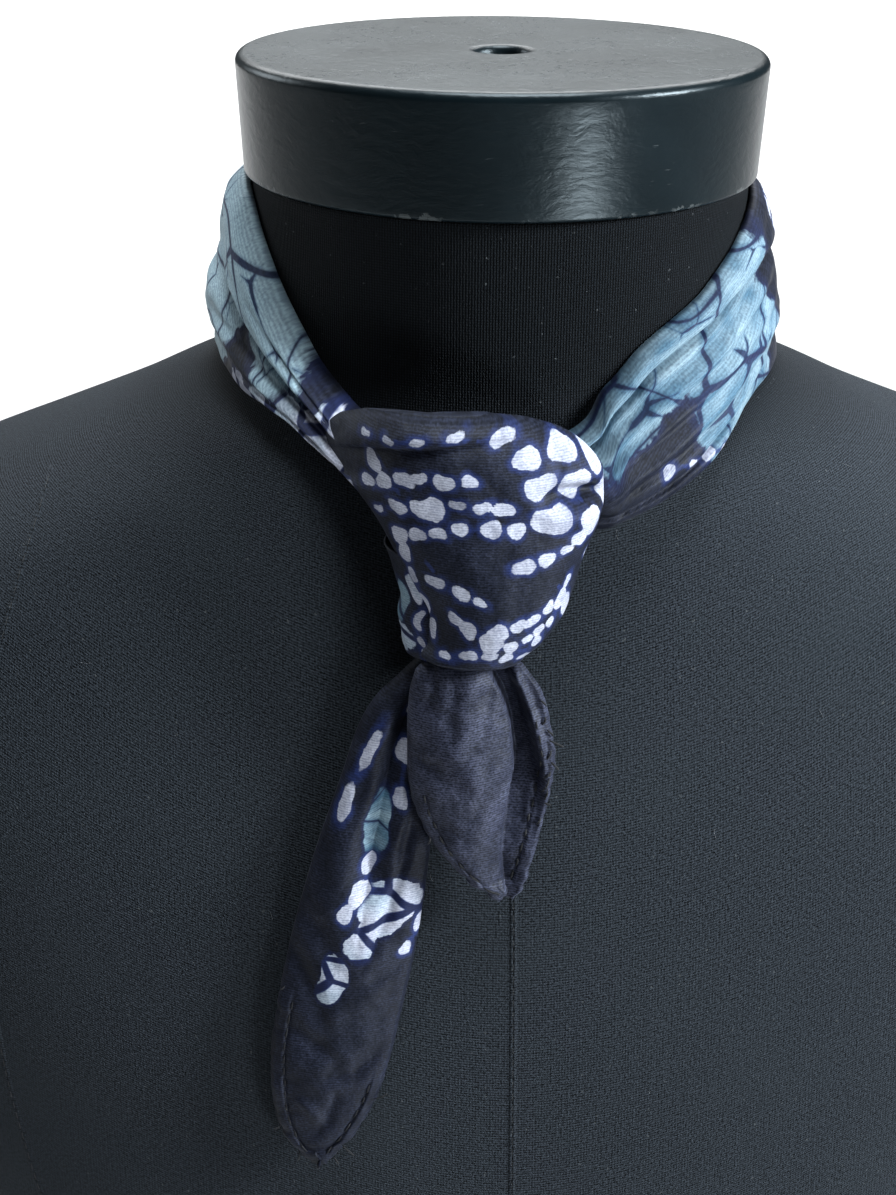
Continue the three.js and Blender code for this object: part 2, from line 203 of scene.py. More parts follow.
# The two hanging ends: edges from the front, stand off the chest, and the rounded folds beside the furrow
TAIL_LONG = table(["down", "left", "right", "stand", "leftFold", "rightFold", "split"], [
    [75, -15, -6, 8.6, 0.5, 0.5, 0.5],
    [81.8, -17.5, -7.5, 8.2, 0.8, 0.8, 0.5],
    [88, -23.5, -11.5, 7, 1.8, 1, 0.55],
    [93, -29, -13, 6, 3, 1.2, 0.5],
    [99, -32.7, -14.5, 5, 3.8, 1.8, 0.5],
    [109, -36.4, -16.3, 4.2, 4, 2.2, 0.48],
    [125, -42.4, -18, 3.6, 4, 2.6, 0.5],
    [143, -47.6, -20.8, 3.2, 3.4, 2.4, 0.52],
    [158, -50.8, -24.2, 3, 2.8, 2, 0.52],
    [170, -52.3, -27.2, 3, 2.4, 1.6, 0.5],
    [178.5, -51.8, -30.4, 3, 2, 1.4, 0.5],
    [184.5, -50, -34.2, 3, 1.6, 1.2, 0.5],
    [189, -47.2, -37.8, 3.2, 1, 0.8, 0.5],
    [192, -44, -40, 3.4, 0.4, 0.4, 0.5],
])
TAIL_SHORT = table(["down", "left", "right", "stand", "leftFold", "rightFold", "split"], [
    [75, -15, -3, 14.8, 1, 1, 0.62],
    [81.6, -17.4, -1, 15, 1.6, 1.4, 0.64],
    [84.4, -20.8, 1.8, 15.6, 2.6, 2.2, 0.66],
    [90, -22.2, 5.5, 14.2, 4, 3.2, 0.7],
    [97, -22.6, 7.4, 12.4, 4.6, 3.4, 0.72],
    [104, -22.6, 8.2, 11, 4.6, 2.6, 0.72],
    [110, -21.8, 7.2, 10, 4.2, 1.8, 0.7],
    [116, -19.6, 5.6, 9, 3.6, 1.2, 0.68],
    [123, -15, 3.6, 8.2, 2.8, 0.9, 0.64],
    [128.5, -9.2, 1.7, 7.6, 1.6, 0.7, 0.6],
    [132, -4.8, -0.4, 7.2, 0.5, 0.4, 0.5],
])
HEM_WIDTH = 3.0
HEM_HEIGHT = 0.32


# Shape helpers

def power(value, exponent):
    return np.sign(value) * np.abs(value) ** exponent


def smooth(low, high, value):
    """0 below low, 1 above high, and a soft step between."""
    t = np.clip((value - low) / (high - low), 0, 1)
    return t * t * (3 - 2 * t)


def bell(value, width):
    return np.exp(-(value / width) ** 2)


def swell(x, y, size, seed, waves=7):
    """Uneven soft waves of about the given size, from -1 to 1."""
    draw = np.random.RandomState(seed)
    total = np.zeros(np.broadcast(x, y).shape)
    for _ in range(waves):
        way = draw.uniform(0, 2 * math.pi)
        rate = 2 * math.pi / size * draw.uniform(0.6, 1.5)
        phase = draw.uniform(0, 2 * math.pi)
        total = total + np.sin(rate * (x * math.cos(way) + y * math.sin(way)) + phase)
    return total / math.sqrt(waves) / 1.6


def place(x, y, down):
    """Points in metres in the frame, from x and y about the neck axis and the distance below the cap."""
    x, y, down = np.broadcast_arrays(x, y, down)
    return np.stack([x, NECK_AXIS_Y + y, CAP_BASE_Z - down], axis=-1) * MM


def section(angle, half, front, back, square):
    """A rounded outline, wider than an ellipse at its shoulders where square is over 2."""
    x = half * power(np.cos(angle), 2 / square)
    depth = np.where(np.sin(angle) < 0, front, back)
    return x, depth * power(np.sin(angle), 2 / square)


def form_radius(turn, down):
    """The form's distance from the neck axis, by the angle from its front."""
    s = FORM(down)
    across = np.abs(np.sin(np.radians(turn))) / s["half"]
    ahead = np.cos(np.radians(turn))
    along = np.abs(ahead) / np.where(ahead > 0, s["front"], s["back"])
    return (across ** s["square"] + along ** s["square"]) ** (-1 / s["square"])


def form_depth(x, down, back=False):
    """How far the form's front, or back, lies from the neck axis at a place beside it."""
    s = FORM(down)
    inside = np.clip(1 - (np.abs(x) / s["half"]) ** s["square"], 0, 1)
    return s["back" if back else "front"] * inside ** (1 / s["square"])


def arch(t):
    """A half wave: 0 at the ends of a stretch and 1 in its middle."""
    return np.sin(math.pi * np.clip(t, 0, 1))


def spaced(count, share):
    """Places from 0 to 1, by the given share closer together at both ends."""
    even = np.linspace(0, 1, count)
    return share * (1 - np.cos(even * math.pi)) / 2 + (1 - share) * even


def grid_normals(grid):
    """Unit normals of a grid of points, along its rows crossed with along its columns."""
    along = np.gradient(grid, axis=0)
    across = np.gradient(grid, axis=1)
    normal = np.cross(along, across)
    return normal / np.maximum(np.linalg.norm(normal, axis=-1, keepdims=True), 1e-12)


def lengths(grid, axis):
    """The distance along one axis of a grid from its start, in millimetres."""
    steps = np.linalg.norm(np.diff(grid, axis=axis), axis=-1) / MM
    pad = [(0, 0), (0, 0)]
    pad[axis] = (1, 0)
    return np.cumsum(np.pad(steps, pad), axis=axis)


# Soft creases: each runs from one place to another, with its depth, or height if negative
CREASE_COLUMNS = ["x0", "y0", "x1", "y1", "depth", "width"]


def creases(x, y, rows):
    """How far soft creases draw a surface in, in the units of their depths. They fade at both ends."""
    total = np.zeros(np.broadcast(x, y).shape)
    for c in named(CREASE_COLUMNS, rows):
        run = np.array([c["x1"] - c["x0"], c["y1"] - c["y0"]], float)
        length = np.hypot(*run)
        run = run / length
        along = ((x - c["x0"]) * run[0] + (y - c["y0"]) * run[1]) / length
        off = (x - c["x0"]) * run[1] - (y - c["y0"]) * run[0]
        bow = 0.06 * length * arch(along)
        fade = smooth(-0.08, 0.12, along) * (1 - smooth(0.6, 1.08, along))
        total = total + c["depth"] * fade * bell(off - bow, c["width"])
    return total


# Meshes

def add_object(name, data):
    made = bpy.data.objects.new(name, data)
    bpy.context.scene.collection.objects.link(made)
    return made


def make_mesh(name, points, faces, uv=None, fields=None):
    """A smooth piece from points in metres, with its faces turned outward."""
    mesh = bpy.data.meshes.new(name)
    mesh.from_pydata(points.reshape(-1, 3).tolist(), [], faces)
    mesh.polygons.foreach_set("use_smooth", [True] * len(mesh.polygons))
    if uv is not None:
        corners = np.zeros(len(mesh.loops), int)
        mesh.loops.foreach_get("vertex_index", corners)
        layer = mesh.uv_layers.new(name="UVMap")
        layer.data.foreach_set("uv", (uv.reshape(-1, 2) * UV_SCALE)[corners].ravel())
    for field, values in (fields or {}).items():
        layer = mesh.attributes.new(field, "FLOAT", "POINT")
        layer.data.foreach_set("value", values.ravel().astype(np.float32))
    turned = bmesh.new()
    turned.from_mesh(mesh)
    bmesh.ops.recalc_face_normals(turned, faces=turned.faces)
    turned.to_mesh(mesh)
    turned.free()
    mesh.update()
    return add_object(name, mesh)


def grid_faces(rows, columns, first=0, loop=False):
    """Quads of a grid whose first point has the given number; a loop joins its last column to its first."""
    faces = []
    for i in range(rows - 1):
        for j in range(columns if loop else columns - 1):
            k = (j + 1) % columns
            here = first + i * columns
            faces.append((here + j, here + k, here + columns + k, here + columns + j))
    return faces


def shell(name, outer, thickness, uv, fields, loop=False, side=1):
    """A thin closed shell: a grid of outer points and one moved in, joined round its edges."""
    rows, columns = outer.shape[:2]
    inner = outer - side * grid_normals(outer) * thickness * MM
    count = rows * columns
    faces = grid_faces(rows, columns, 0, loop) + grid_faces(rows, columns, count, loop)
    rims = [[i * columns + j for j in range(columns)] for i in (0, rows - 1)]
    if not loop:
        rims += [[i * columns + j for i in range(rows)] for j in (0, columns - 1)]
    for rim in rims:
        after = rim[1:] + rim[:1] if loop else rim[1:]
        faces += [(a, b, b + count, a + count) for a, b in zip(rim, after)]
    both = {field: np.stack([values, values]) for field, values in fields.items()}
    return make_mesh(name, np.stack([outer, inner]), faces, np.stack([uv, uv]), both)


THREAD_GUIDE = np.array([0.31, 0.52, 0.8])         # no stitch runs along it
THREAD_SIDES = 4


def threads(name, paths, radius):
    """Many short threads as one piece, each thin and round along its own path in metres."""
    turn = np.linspace(0, 2 * math.pi, THREAD_SIDES, endpoint=False)[:, None]
    points = []
    faces = []
    start = 0
    for path in paths:
        along = np.gradient(path, axis=0)
        along /= np.linalg.norm(along, axis=1, keepdims=True)
        first = np.cross(along, THREAD_GUIDE)
        first /= np.linalg.norm(first, axis=1, keepdims=True)
        second = np.cross(along, first)
        taper = np.sin(np.linspace(0.25, math.pi - 0.25, len(path))) ** 0.5
        ring = first[:, None] * np.cos(turn) + second[:, None] * np.sin(turn)
        points.append((path[:, None] + ring * (radius * MM * taper)[:, None, None]).reshape(-1, 3))
        faces += grid_faces(len(path), THREAD_SIDES, start, True)
        last = start + len(path) * THREAD_SIDES
        faces.append(tuple(range(start, start + THREAD_SIDES)))
        faces.append(tuple(range(last - THREAD_SIDES, last)))
        start = last
    return make_mesh(name, np.concatenate(points), faces)


# Print: fields in millimetres, positive inside a pale motif, worked out on each piece's own flat sizes

OUTSIDE = -20.0                    # a field far from every motif


def pebbles(x, y, motifs):
    """The field of rounded motifs, each with a place, two half sizes and an angle."""
    field = np.full(np.broadcast(x, y).shape, OUTSIDE)
    for mx, my, long, short, angle in motifs:
        u = (x - mx) * math.cos(angle) + (y - my) * math.sin(angle)
        w = (y - my) * math.cos(angle) - (x - mx) * math.sin(angle)
        far = (np.abs(u / long) ** 2.4 + np.abs(w / short) ** 2.4 + 1e-9) ** (1 / 2.4)
        way = np.arctan2(w, u)
        far = far * (1 + 0.1 * np.sin(3 * way + mx) + 0.08 * np.sin(2 * way + 2 * my))
        field = np.maximum(field, (1 - far) * short)
    return field


ROW_COLUMNS = ["x0", "y0", "x1", "y1", "bow", "count", "long", "short"]


def pebble_rows(rows, seed):
    """Motifs along gently bent rows, uneven in size, spacing and angle."""
    draw = np.random.RandomState(seed)
    motifs = []
    for r in named(ROW_COLUMNS, rows):
        dx, dy = r["x1"] - r["x0"], r["y1"] - r["y0"]
        length = math.hypot(dx, dy)
        for i in range(r["count"]):
            t = (i + draw.uniform(-0.16, 0.16)) / max(r["count"] - 1, 1)
            lift = r["bow"] * math.sin(math.pi * min(max(t, 0), 1))
            grow = draw.uniform(0.7, 1.25)
            motifs.append((
                r["x0"] + dx * t - dy / length * lift,
                r["y0"] + dy * t + dx / length * lift + draw.uniform(-0.3, 0.3),
                r["long"] * grow,
                r["short"] * grow * draw.uniform(0.85, 1.15),
                math.atan2(dy, dx) + draw.uniform(-0.25, 0.25),
            ))
    return motifs


def links(x, y, rows):
    """The field of thin lines along the rows of motifs, 0 on a line and less beside it."""
    field = np.full(np.broadcast(x, y).shape, OUTSIDE)
    for r in named(ROW_COLUMNS, rows):
        dx, dy = r["x1"] - r["x0"], r["y1"] - r["y0"]
        length = math.hypot(dx, dy)
        along = ((x - r["x0"]) * dx + (y - r["y0"]) * dy) / length ** 2
        off = ((y - r["y0"]) * dx - (x - r["x0"]) * dy) / length
        past = np.maximum(np.maximum(-along, along - 1), 0) * length
        bow = r["bow"] * arch(along)
        field = np.maximum(field, -np.hypot(off - bow, past))
    return field


def patches(x, y, rows):
    """The field of a few large soft-edged areas: place, half sizes and angle in degrees."""
    return pebbles(x, y, [(px, py, a, b, math.radians(tilt)) for px, py, a, b, tilt in rows])


def print_fields(x, y, rows, seed, teal=(), petal=(), blobs=(), more_links=()):
    """What the print reads on a piece: its teal and petal areas, its pebbles and their links."""
    return {
        "teal": patches(x, y, teal),
        "petal": patches(x, y, petal),
        "pebble": np.maximum(pebbles(x, y, pebble_rows(rows, seed)), patches(x, y, blobs)),
        "link": links(x, y, [*rows, *more_links]),
    }


# Materials

class Graph:
    """A material's nodes, added one by one; a value that is a socket is linked."""

    def __init__(self, name):
        self.material = bpy.data.materials.new(name)
        self.material.use_nodes = True
        self.tree = self.material.node_tree
        self.shader = self.tree.nodes["Principled BSDF"]

    def put(self, socket, value):
        if isinstance(value, bpy.types.NodeSocket):
            self.tree.links.new(value, socket)
        elif socket.type == "RGBA" and len(value) == 3:
            socket.default_value = (*value, 1)
        else:
            socket.default_value = value

    def add(self, kind, inputs=None, out=0, **settings):
        node = self.tree.nodes.new("ShaderNode" + kind)
        for key, value in settings.items():
            setattr(node, key, value)
        for key, value in (inputs or {}).items():
            self.put(node.inputs[key], value)
        return node.outputs[out]

    def math(self, operation, a, b):
        return self.add("Math", {0: a, 1: b}, operation=operation)

    def plus(self, a, b):
        return self.math("ADD", a, b)

    def minus(self, a, b):
        return self.math("SUBTRACT", a, b)

    def times(self, a, b):
        return self.math("MULTIPLY", a, b)

    def step(self, value, low, high):
        """0 below low, 1 above high."""
        return self.add("MapRange", {"Value": value, "From Min": low, "From Max": high}, clamp=True)

    def mix(self, share, a, b):
        return self.add("Mix", {0: share, 6: a, 7: b}, out=2, data_type="RGBA")

    def stain(self, colour, tone, share, amount):
        """A colour with a tone laid over it, by part of a share."""
        return self.mix(self.times(share, amount), colour, tone)

    def noise(self, vector, size, detail=2.0, rough=0.5, out=0):
        inputs = {"Vector": vector, "Scale": 1 / size, "Detail": detail, "Roughness": rough}
        return self.add("TexNoise", inputs, out=out, noise_dimensions="3D")

    def field(self, name):
        return self.add("Attribute", out=2, attribute_name=name)

    def flat_mm(self):
        """The piece's own flat coordinates in millimetres."""
        uv = self.add("UVMap", uv_map="UVMap")
        return self.add("VectorMath", {0: uv, "Scale": 1 / UV_SCALE}, operation="SCALE")

    def space_mm(self):
        """Places on the object in millimetres."""
        here = self.add("TexCoord", out=3)
        return self.add("VectorMath", {0: here, "Scale": 1 / MM}, operation="SCALE")

    def shift(self, vector, by, amount):
        """A vector moved by a noise colour, up to the given amount each way."""
        centred = self.add("VectorMath", {0: by, 1: (0.5, 0.5, 0.5)}, operation="SUBTRACT")
        moved = self.add("VectorMath", {0: centred, "Scale": 2 * amount}, operation="SCALE")
        return self.add("VectorMath", {0: vector, 1: moved}, operation="ADD")

    def stretch(self, vector, x, y):
        return self.add("VectorMath", {0: vector, 1: (1 / x, 1 / y, 1 / y)}, operation="MULTIPLY")

    def wave(self, vector, way, scale, distortion, detail_scale):
        """Uneven bands of thread or stitch across one direction."""
        inputs = {"Vector": vector, "Scale": scale, "Distortion": distortion, "Detail": 1.0}
        inputs["Detail Scale"] = detail_scale
        return self.add("TexWave", inputs, out=1, wave_type="BANDS", bands_direction=way)

    def cells(self, vector, feature="F1", out=0):
        inputs = {"Vector": vector, "Scale": 1.0}
        return self.add("TexVoronoi", inputs, out=out, feature=feature, voronoi_dimensions="2D")

    def shaded(self, colour, share, dark):
        """A colour darkened where the share is low."""
        tone = self.mix(share, dark, (1.0, 1.0, 1.0))
        return self.add("Mix", {0: 1.0, 6: colour, 7: tone}, out=2, data_type="RGBA", blend_type="MULTIPLY")

    def bump(self, height, distance, strength=1.0, normal=None):
        inputs = {"Height": height, "Distance": distance * MM, "Strength": strength}
        if normal is not None:
            inputs["Normal"] = normal
        return self.add("Bump", inputs)

    def finish(self, **sockets):
        for name, value in sockets.items():
            self.put(self.shader.inputs[name.replace("_", " ")], value)
        return self.material


AUBERGINE = (0.01, 0.0125, 0.0245)
AUBERGINE_LIGHT = (0.029, 0.034, 0.06)
NAVY = (0.011, 0.017, 0.06)
BLEED = (0.022, 0.036, 0.13)
TEAL = (0.085, 0.175, 0.25)
# paler, greyer teal for the band's left part: partly the dye's own tone, partly painted light standing in
# for light from the left
TEAL_PALE_DYE_AND_LIGHT = (0.4, 0.54, 0.6)
TEAL_PALE = (0.29, 0.4, 0.46)
TEAL_DEEP = (0.03, 0.085, 0.17)
WAX = (0.55, 0.56, 0.65)
WAX_GREY = (0.33, 0.34, 0.42)


def weave(graph, flat):
    """The height of the weave: uneven rows of threads, short slubs and a fine grain."""
    rows = graph.wave(flat, "Y", 0.66, 2.6, 2.2)
    slubs = graph.noise(graph.stretch(flat, 1.0, 0.4), 1, 1.0, 0.6)
    grain = graph.noise(flat, 0.5, 1.0, 0.6)
    threads_at = graph.plus(graph.times(rows, 0.17), graph.times(slubs, 0.3))
    return graph.plus(threads_at, graph.times(grain, 0.53))


def veins(g, flat, net, knots, gaps):
    """How far places lie from a net's edges, bare, and with the edges thick at knots and faint in gaps."""
    edge = g.cells(net, "DISTANCE_TO_EDGE")
    near, far, thick = knots
    size, clear, faint, rise = gaps
    knot = g.times(g.step(g.cells(net), near, far), thick)
    gap = g.times(g.step(g.noise(flat, size), clear, faint), rise)
    return edge, g.plus(g.minus(edge, knot), gap)


def silk_surface(g, flat, colour, cloth, mottle, size, rumple, thread, shine, sheen):
    """Rumpled silk with its threads, softly shining; sizes and heights in millimetres."""
    bent = g.bump(g.noise(flat, size, 2.0, 0.5), rumple)
    rough = g.add("MapRange", {"Value": mottle, "To Min": 0.5, "To Max": 0.64})
    return g.finish(Base_Color=colour, Roughness=rough, Normal=g.bump(cloth, thread, normal=bent),
                    Specular_IOR_Level=shine, Sheen_Weight=sheen, Sheen_Roughness=0.4)


def silk_print():
    """Batik on silk: teal cells, white cells and pebbles on aubergine, with veins and blue bleed."""
    g = Graph("silk_print")
    flat = g.flat_mm()
    cloud = g.noise(flat, 24, 0.0, 0.5, out=1)
    mottle = g.noise(flat, 6, 4.0, 0.6)
    wobble = g.minus(g.noise(flat, 1.6, 3.0, 0.6), 0.5)
    sway = g.minus(mottle, 0.5)
    bent = g.shift(flat, cloud, 3.2)
    cloth = weave(g, flat)
    ground = g.mix(g.step(mottle, 0.35, 0.75), AUBERGINE, AUBERGINE_LIGHT)
    ground = g.shaded(ground, g.step(cloth, 0.36, 0.64), (0.3, 0.31, 0.34))

    wide_net = g.stretch(bent, 27, 12)
    wide_edge, wide_line = veins(g, flat, wide_net, (0.6, 0.9, 0.035), (9, 0.6, 0.46, 0.007))
    fine_net = g.stretch(g.shift(flat, cloud, 2.4), 19, 9)
    _, fine_line = veins(g, flat, fine_net, (0.55, 0.85, 0.04), (12, 0.56, 0.44, 0.05))
    streak = g.noise(g.stretch(bent, 15, 3.6), 1, 2.0, 0.5)
    pale = g.times(g.step(streak, 0.36, 0.66), g.step(wide_edge, -0.1, 0.1))
    teal = g.mix(pale, TEAL, TEAL_PALE)
    # the band's left part painted paler: partly its dye, partly painted light from the left
    teal = g.stain(teal, TEAL_PALE_DYE_AND_LIGHT, g.field("pale_dye_and_light"), 0.8)
    teal = g.stain(teal, TEAL_DEEP, g.step(wide_line, 0.05, 0.0), 0.65)
    teal = g.stain(teal, TEAL_DEEP, g.step(fine_line, 0.035, 0.0), 0.85)
    teal = g.stain(teal, NAVY, g.step(fine_line, 0.008, -0.004), 0.85)
    teal = g.stain(teal, NAVY, g.step(wide_line, 0.024, 0.01), 0.94)

    small = g.stretch(g.shift(flat, cloud, 3.0), 10.5, 6.5)
    small_edge = g.cells(small, "DISTANCE_TO_EDGE")
    small_line = g.minus(small_edge, g.times(mottle, 0.12))
    wax = g.mix(g.step(g.noise(flat, 7, 3.0, 0.6), 0.3, 0.56), WAX_GREY, WAX)
    washed = g.stain(wax, TEAL_PALE, g.step(g.noise(flat, 15), 0.44, 0.6), 0.6)
    white = g.mix(g.step(small_line, 0.05, 0.02), washed, BLEED)
    white = g.mix(g.step(small_line, 0.022, 0.002), white, NAVY)

    teal_at = g.plus(g.field("teal"), g.times(sway, 6.0))
    teal_at = g.plus(teal_at, g.times(wobble, 1.2))
    petal_at = g.plus(g.field("petal"), g.times(wobble, 1.4))
    pebble_at = g.plus(g.field("pebble"), g.times(wobble, 0.7))
    colour = g.mix(g.step(teal_at, -1.8, 0.1), ground, NAVY)
    colour = g.mix(g.step(teal_at, -0.15, 0.5), colour, teal)
    colour = g.mix(g.step(petal_at, -0.9, 0.0), colour, NAVY)
    colour = g.mix(g.step(petal_at, -0.08, 0.12), colour, white)
    halo = g.times(g.step(pebble_at, -0.95, -0.05), g.step(g.noise(flat, 4.5), 0.32, 0.5))
    colour = g.mix(halo, colour, BLEED)
    link_at = g.plus(g.field("link"), g.times(wobble, 0.5))
    link = g.times(g.step(link_at, -0.62, -0.3), g.step(g.noise(flat, 3.2), 0.44, 0.54))
    colour = g.stain(colour, BLEED, link, 0.85)
    colour = g.mix(g.step(pebble_at, -0.06, 0.1), colour, wax)

    colour = g.shaded(colour, g.step(cloth, 0.34, 0.66), (0.52, 0.53, 0.57))
    return silk_surface(g, flat, colour, cloth, mottle, 6, 0.8, 0.05, 0.16, 0.02)


def silk_reverse():
    """The scarf's dark reverse, with soft mottling and the fine weave."""
    g = Graph("silk_reverse")
    flat = g.flat_mm()
    mottle = g.noise(flat, 7, 5.0, 0.66)
    colour = g.mix(g.step(mottle, 0.35, 0.72), (0.019, 0.0225, 0.042), (0.078, 0.085, 0.134))
    ghost = g.step(g.plus(g.field("pebble"), g.noise(flat, 2)), -0.5, 1.5)
    colour = g.stain(colour, (0.09, 0.09, 0.15), ghost, 0.1)
    cloth = weave(g, flat)
    colour = g.shaded(colour, g.step(cloth, 0.36, 0.64), (0.12, 0.125, 0.16))
    return silk_surface(g, flat, colour, cloth, mottle, 7, 1.7, 0.06, 0.18, 0.03)


def jersey():
    """Black jersey: knitted ribs by the neck, finer courses below, fuzz and specks of dust, and painted
    shade by the neck and in the seams' valleys.
    """
    g = Graph("jersey")
    flat = g.flat_mm()
    columns = g.wave(flat, "X", 0.5, 1.4, 3.0)
    rows = g.wave(flat, "Y", 0.55, 1.2, 3.0)
    knit_and_shade = g.field("knit_and_shade")
    fuzz = g.noise(flat, 0.6, 2.0, 0.7)
    cloud = g.noise(flat, 45, 3.0, 0.55)
    ribs = g.times(columns, g.plus(g.times(rows, 0.55), 0.45))
    courses = g.plus(g.times(rows, 0.4), g.times(columns, 0.16))
    courses = g.plus(courses, g.times(g.step(fuzz, 0.34, 0.66), 0.44))
    knit = g.add("Mix", {0: knit_and_shade, 2: ribs, 3: courses}, data_type="FLOAT")
    colour = g.mix(g.step(knit, 0.16, 0.8), (0.0008, 0.0012, 0.0018), (0.032, 0.0385, 0.048))
    colour = g.stain(colour, (0.04, 0.047, 0.057), g.step(fuzz, 0.5, 0.8), 0.3)
    colour = g.stain(colour, (0.026, 0.032, 0.037), g.step(cloud, 0.45, 0.8), 0.3)
    # painted shade: darkens the jersey by the neck, under the cap and band, and in each seam's valley
    colour = g.shaded(colour, knit_and_shade, (0.24, 0.27, 0.29))
    spread = g.stretch(g.shift(flat, g.noise(flat, 2, out=1), 0.8), 3, 3)
    pick = g.add("SeparateColor", {0: g.cells(spread, "F1", out=1)})
    size = g.times(g.math("MAXIMUM", g.minus(pick, 0.78), 0.0), 0.3)
    lint = g.step(g.minus(g.cells(spread, "F1"), size), 0.02, 0.0)
    colour = g.mix(g.times(lint, pick), colour, (0.055, 0.06, 0.064))
    normal = g.bump(g.plus(knit, g.times(fuzz, 0.6)), 0.16)
    return g.finish(Base_Color=colour, Roughness=0.85, Normal=normal, Specular_IOR_Level=0.1,
                    Sheen_Weight=0.02, Sheen_Roughness=0.5)


def cap_paint():
    """Semi-gloss black paint on metal: orange peel, fine scratches, pits on top and worn edges."""
    g = Graph("cap_paint")
    here = g.space_mm()
    flat = g.flat_mm()
    upper = g.field("upper")
    wall = g.noise(g.stretch(g.shift(flat, g.noise(here, 12, out=1), 4), 5, 2.1), 1, 3.0, 0.6)
    peel = g.add("Mix", {0: upper, 2: wall, 3: g.noise(here, 2.2, 3.0, 0.6)}, data_type="FLOAT")
    cloud = g.noise(here, 22, 4.0, 0.6)
    colour = g.mix(g.step(cloud, 0.35, 0.7), (0.0015, 0.0045, 0.0062), (0.0035, 0.008, 0.0105))
    scratch = g.noise(g.stretch(g.shift(flat, g.noise(here, 30, out=1), 6), 9, 0.45), 1, 2.0, 0.6)
    fine = g.times(g.step(scratch, 0.7, 0.76), g.step(g.noise(here, 9), 0.5, 0.62))
    pitted = g.times(g.step(g.noise(here, 16), 0.42, 0.56), upper)
    pit = g.times(g.step(g.noise(g.stretch(here, 1.9, 1.3), 1, 2.0, 0.65), 0.6, 0.66), pitted)
    flaked = g.times(g.minus(g.noise(here, 2.6, 3.0, 0.65), 0.5), 1.9)
    chip = g.plus(g.field("rim"), flaked)
    chip = g.times(g.step(chip, 1.0, 1.06), g.step(g.noise(here, 14), 0.54, 0.62))
    colour = g.stain(colour, (0.12, 0.13, 0.135), fine, 0.4)
    colour = g.stain(colour, (0.002, 0.002, 0.002), pit, 0.5)
    colour = g.stain(colour, (0.1, 0.11, 0.11), chip, 0.5)
    rough = g.add("MapRange", {"Value": cloud, "To Min": 0.27, "To Max": 0.35})
    rough = g.plus(rough, g.times(g.math("MAXIMUM", fine, pit), 0.25))
    gloss = g.plus(g.times(upper, 0.45), g.minus(0.28, g.times(pit, 0.28)))
    height = g.minus(peel, g.plus(g.times(pit, 4.0), chip))
    normal = g.bump(height, 0.12)
    return g.finish(Base_Color=colour, Roughness=rough, Normal=normal, Specular_IOR_Level=gloss,
                    Specular_Tint=(0.84, 0.95, 1.0))


def thread_material(name, light, dark):
    """Twisted sewing thread."""
    g = Graph(name)
    here = g.space_mm()
    twist = g.add("TexWave", {"Vector": here, "Scale": 2.2, "Distortion": 2.0}, out=1)
    colour = g.mix(twist, dark, light)
    return g.finish(Base_Color=colour, Roughness=0.7, Normal=g.bump(twist, 0.05))


def floor_material():
    """Pale paper, all but even."""
    g = Graph("floor_paper")
    here = g.space_mm()
    tone = g.step(g.noise(here, 300), 0.3, 0.7)
    colour = g.mix(tone, (0.9, 0.9, 0.9), (0.92, 0.92, 0.92))
    return g.finish(Base_Color=colour, Roughness=0.9)


# Pieces

def finish_piece(piece, material, slot, *nodes):
    piece.data.materials.append(material)
    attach(piece, "root")
    if nodes:
        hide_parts(*nodes)
    return piece


FORM_SIDES = 300
FORM_FINE_LOW = 110                # the skin's rings lie closest together above this distance down
FOOT_ROUND = 0.4
KNIT_AND_SHADE_FROM = 30                     # the jersey turns from ribs to courses, and from painted shade by the neck to its own tone, between these distances down
KNIT_AND_SHADE_TO = 62


def make_form(material):
    """The form's jersey skin, closed at its top under the cap and at its foot."""
    angle = np.linspace(math.pi / 2, -1.5 * math.pi, FORM_SIDES + 1)
    fine = np.linspace(FORM_TOP, FORM_FINE_LOW, 120)
    down = np.concatenate([fine, np.linspace(FORM_FINE_LOW, FORM_LOW, 150)[1:]])
    s = {key: value[:, None] for key, value in FORM(down).items()}
    x, y = section(angle[None], s["half"], s["front"], s["back"], s["square"])
    skin = place(x, y, down[:, None])
    skin[-1] = place(x[-1] * 0.995, y[-1] * 0.995, FORM_LOW - FOOT_ROUND)
    top = [place(x[0] * k, y[0] * k, FORM_TOP - 0.02) for k in (0.02, 0.6, 0.97)]
    low = [place(x[-1] * k, y[-1] * k, FORM_LOW) for k in (0.985, 0.6, 0.02)]
    grid = np.concatenate([top, skin, low])
    around = lengths(grid, 1)
    around -= around[:, FORM_SIDES // 2][:, None]
    uv = np.stack([around, lengths(grid, 0)], axis=-1)
    # 0 by the neck, where the knit is ribbed and painted shade darkens it; 1 lower down
    knit_and_shade = smooth(KNIT_AND_SHADE_FROM, KNIT_AND_SHADE_TO, CAP_BASE_Z - grid[..., 2] / MM)
    piece = make_mesh("form_jersey", grid, grid_faces(len(grid), FORM_SIDES + 1), uv, {"knit_and_shade": knit_and_shade})
    return finish_piece(piece, material, "jersey", "form_torso")


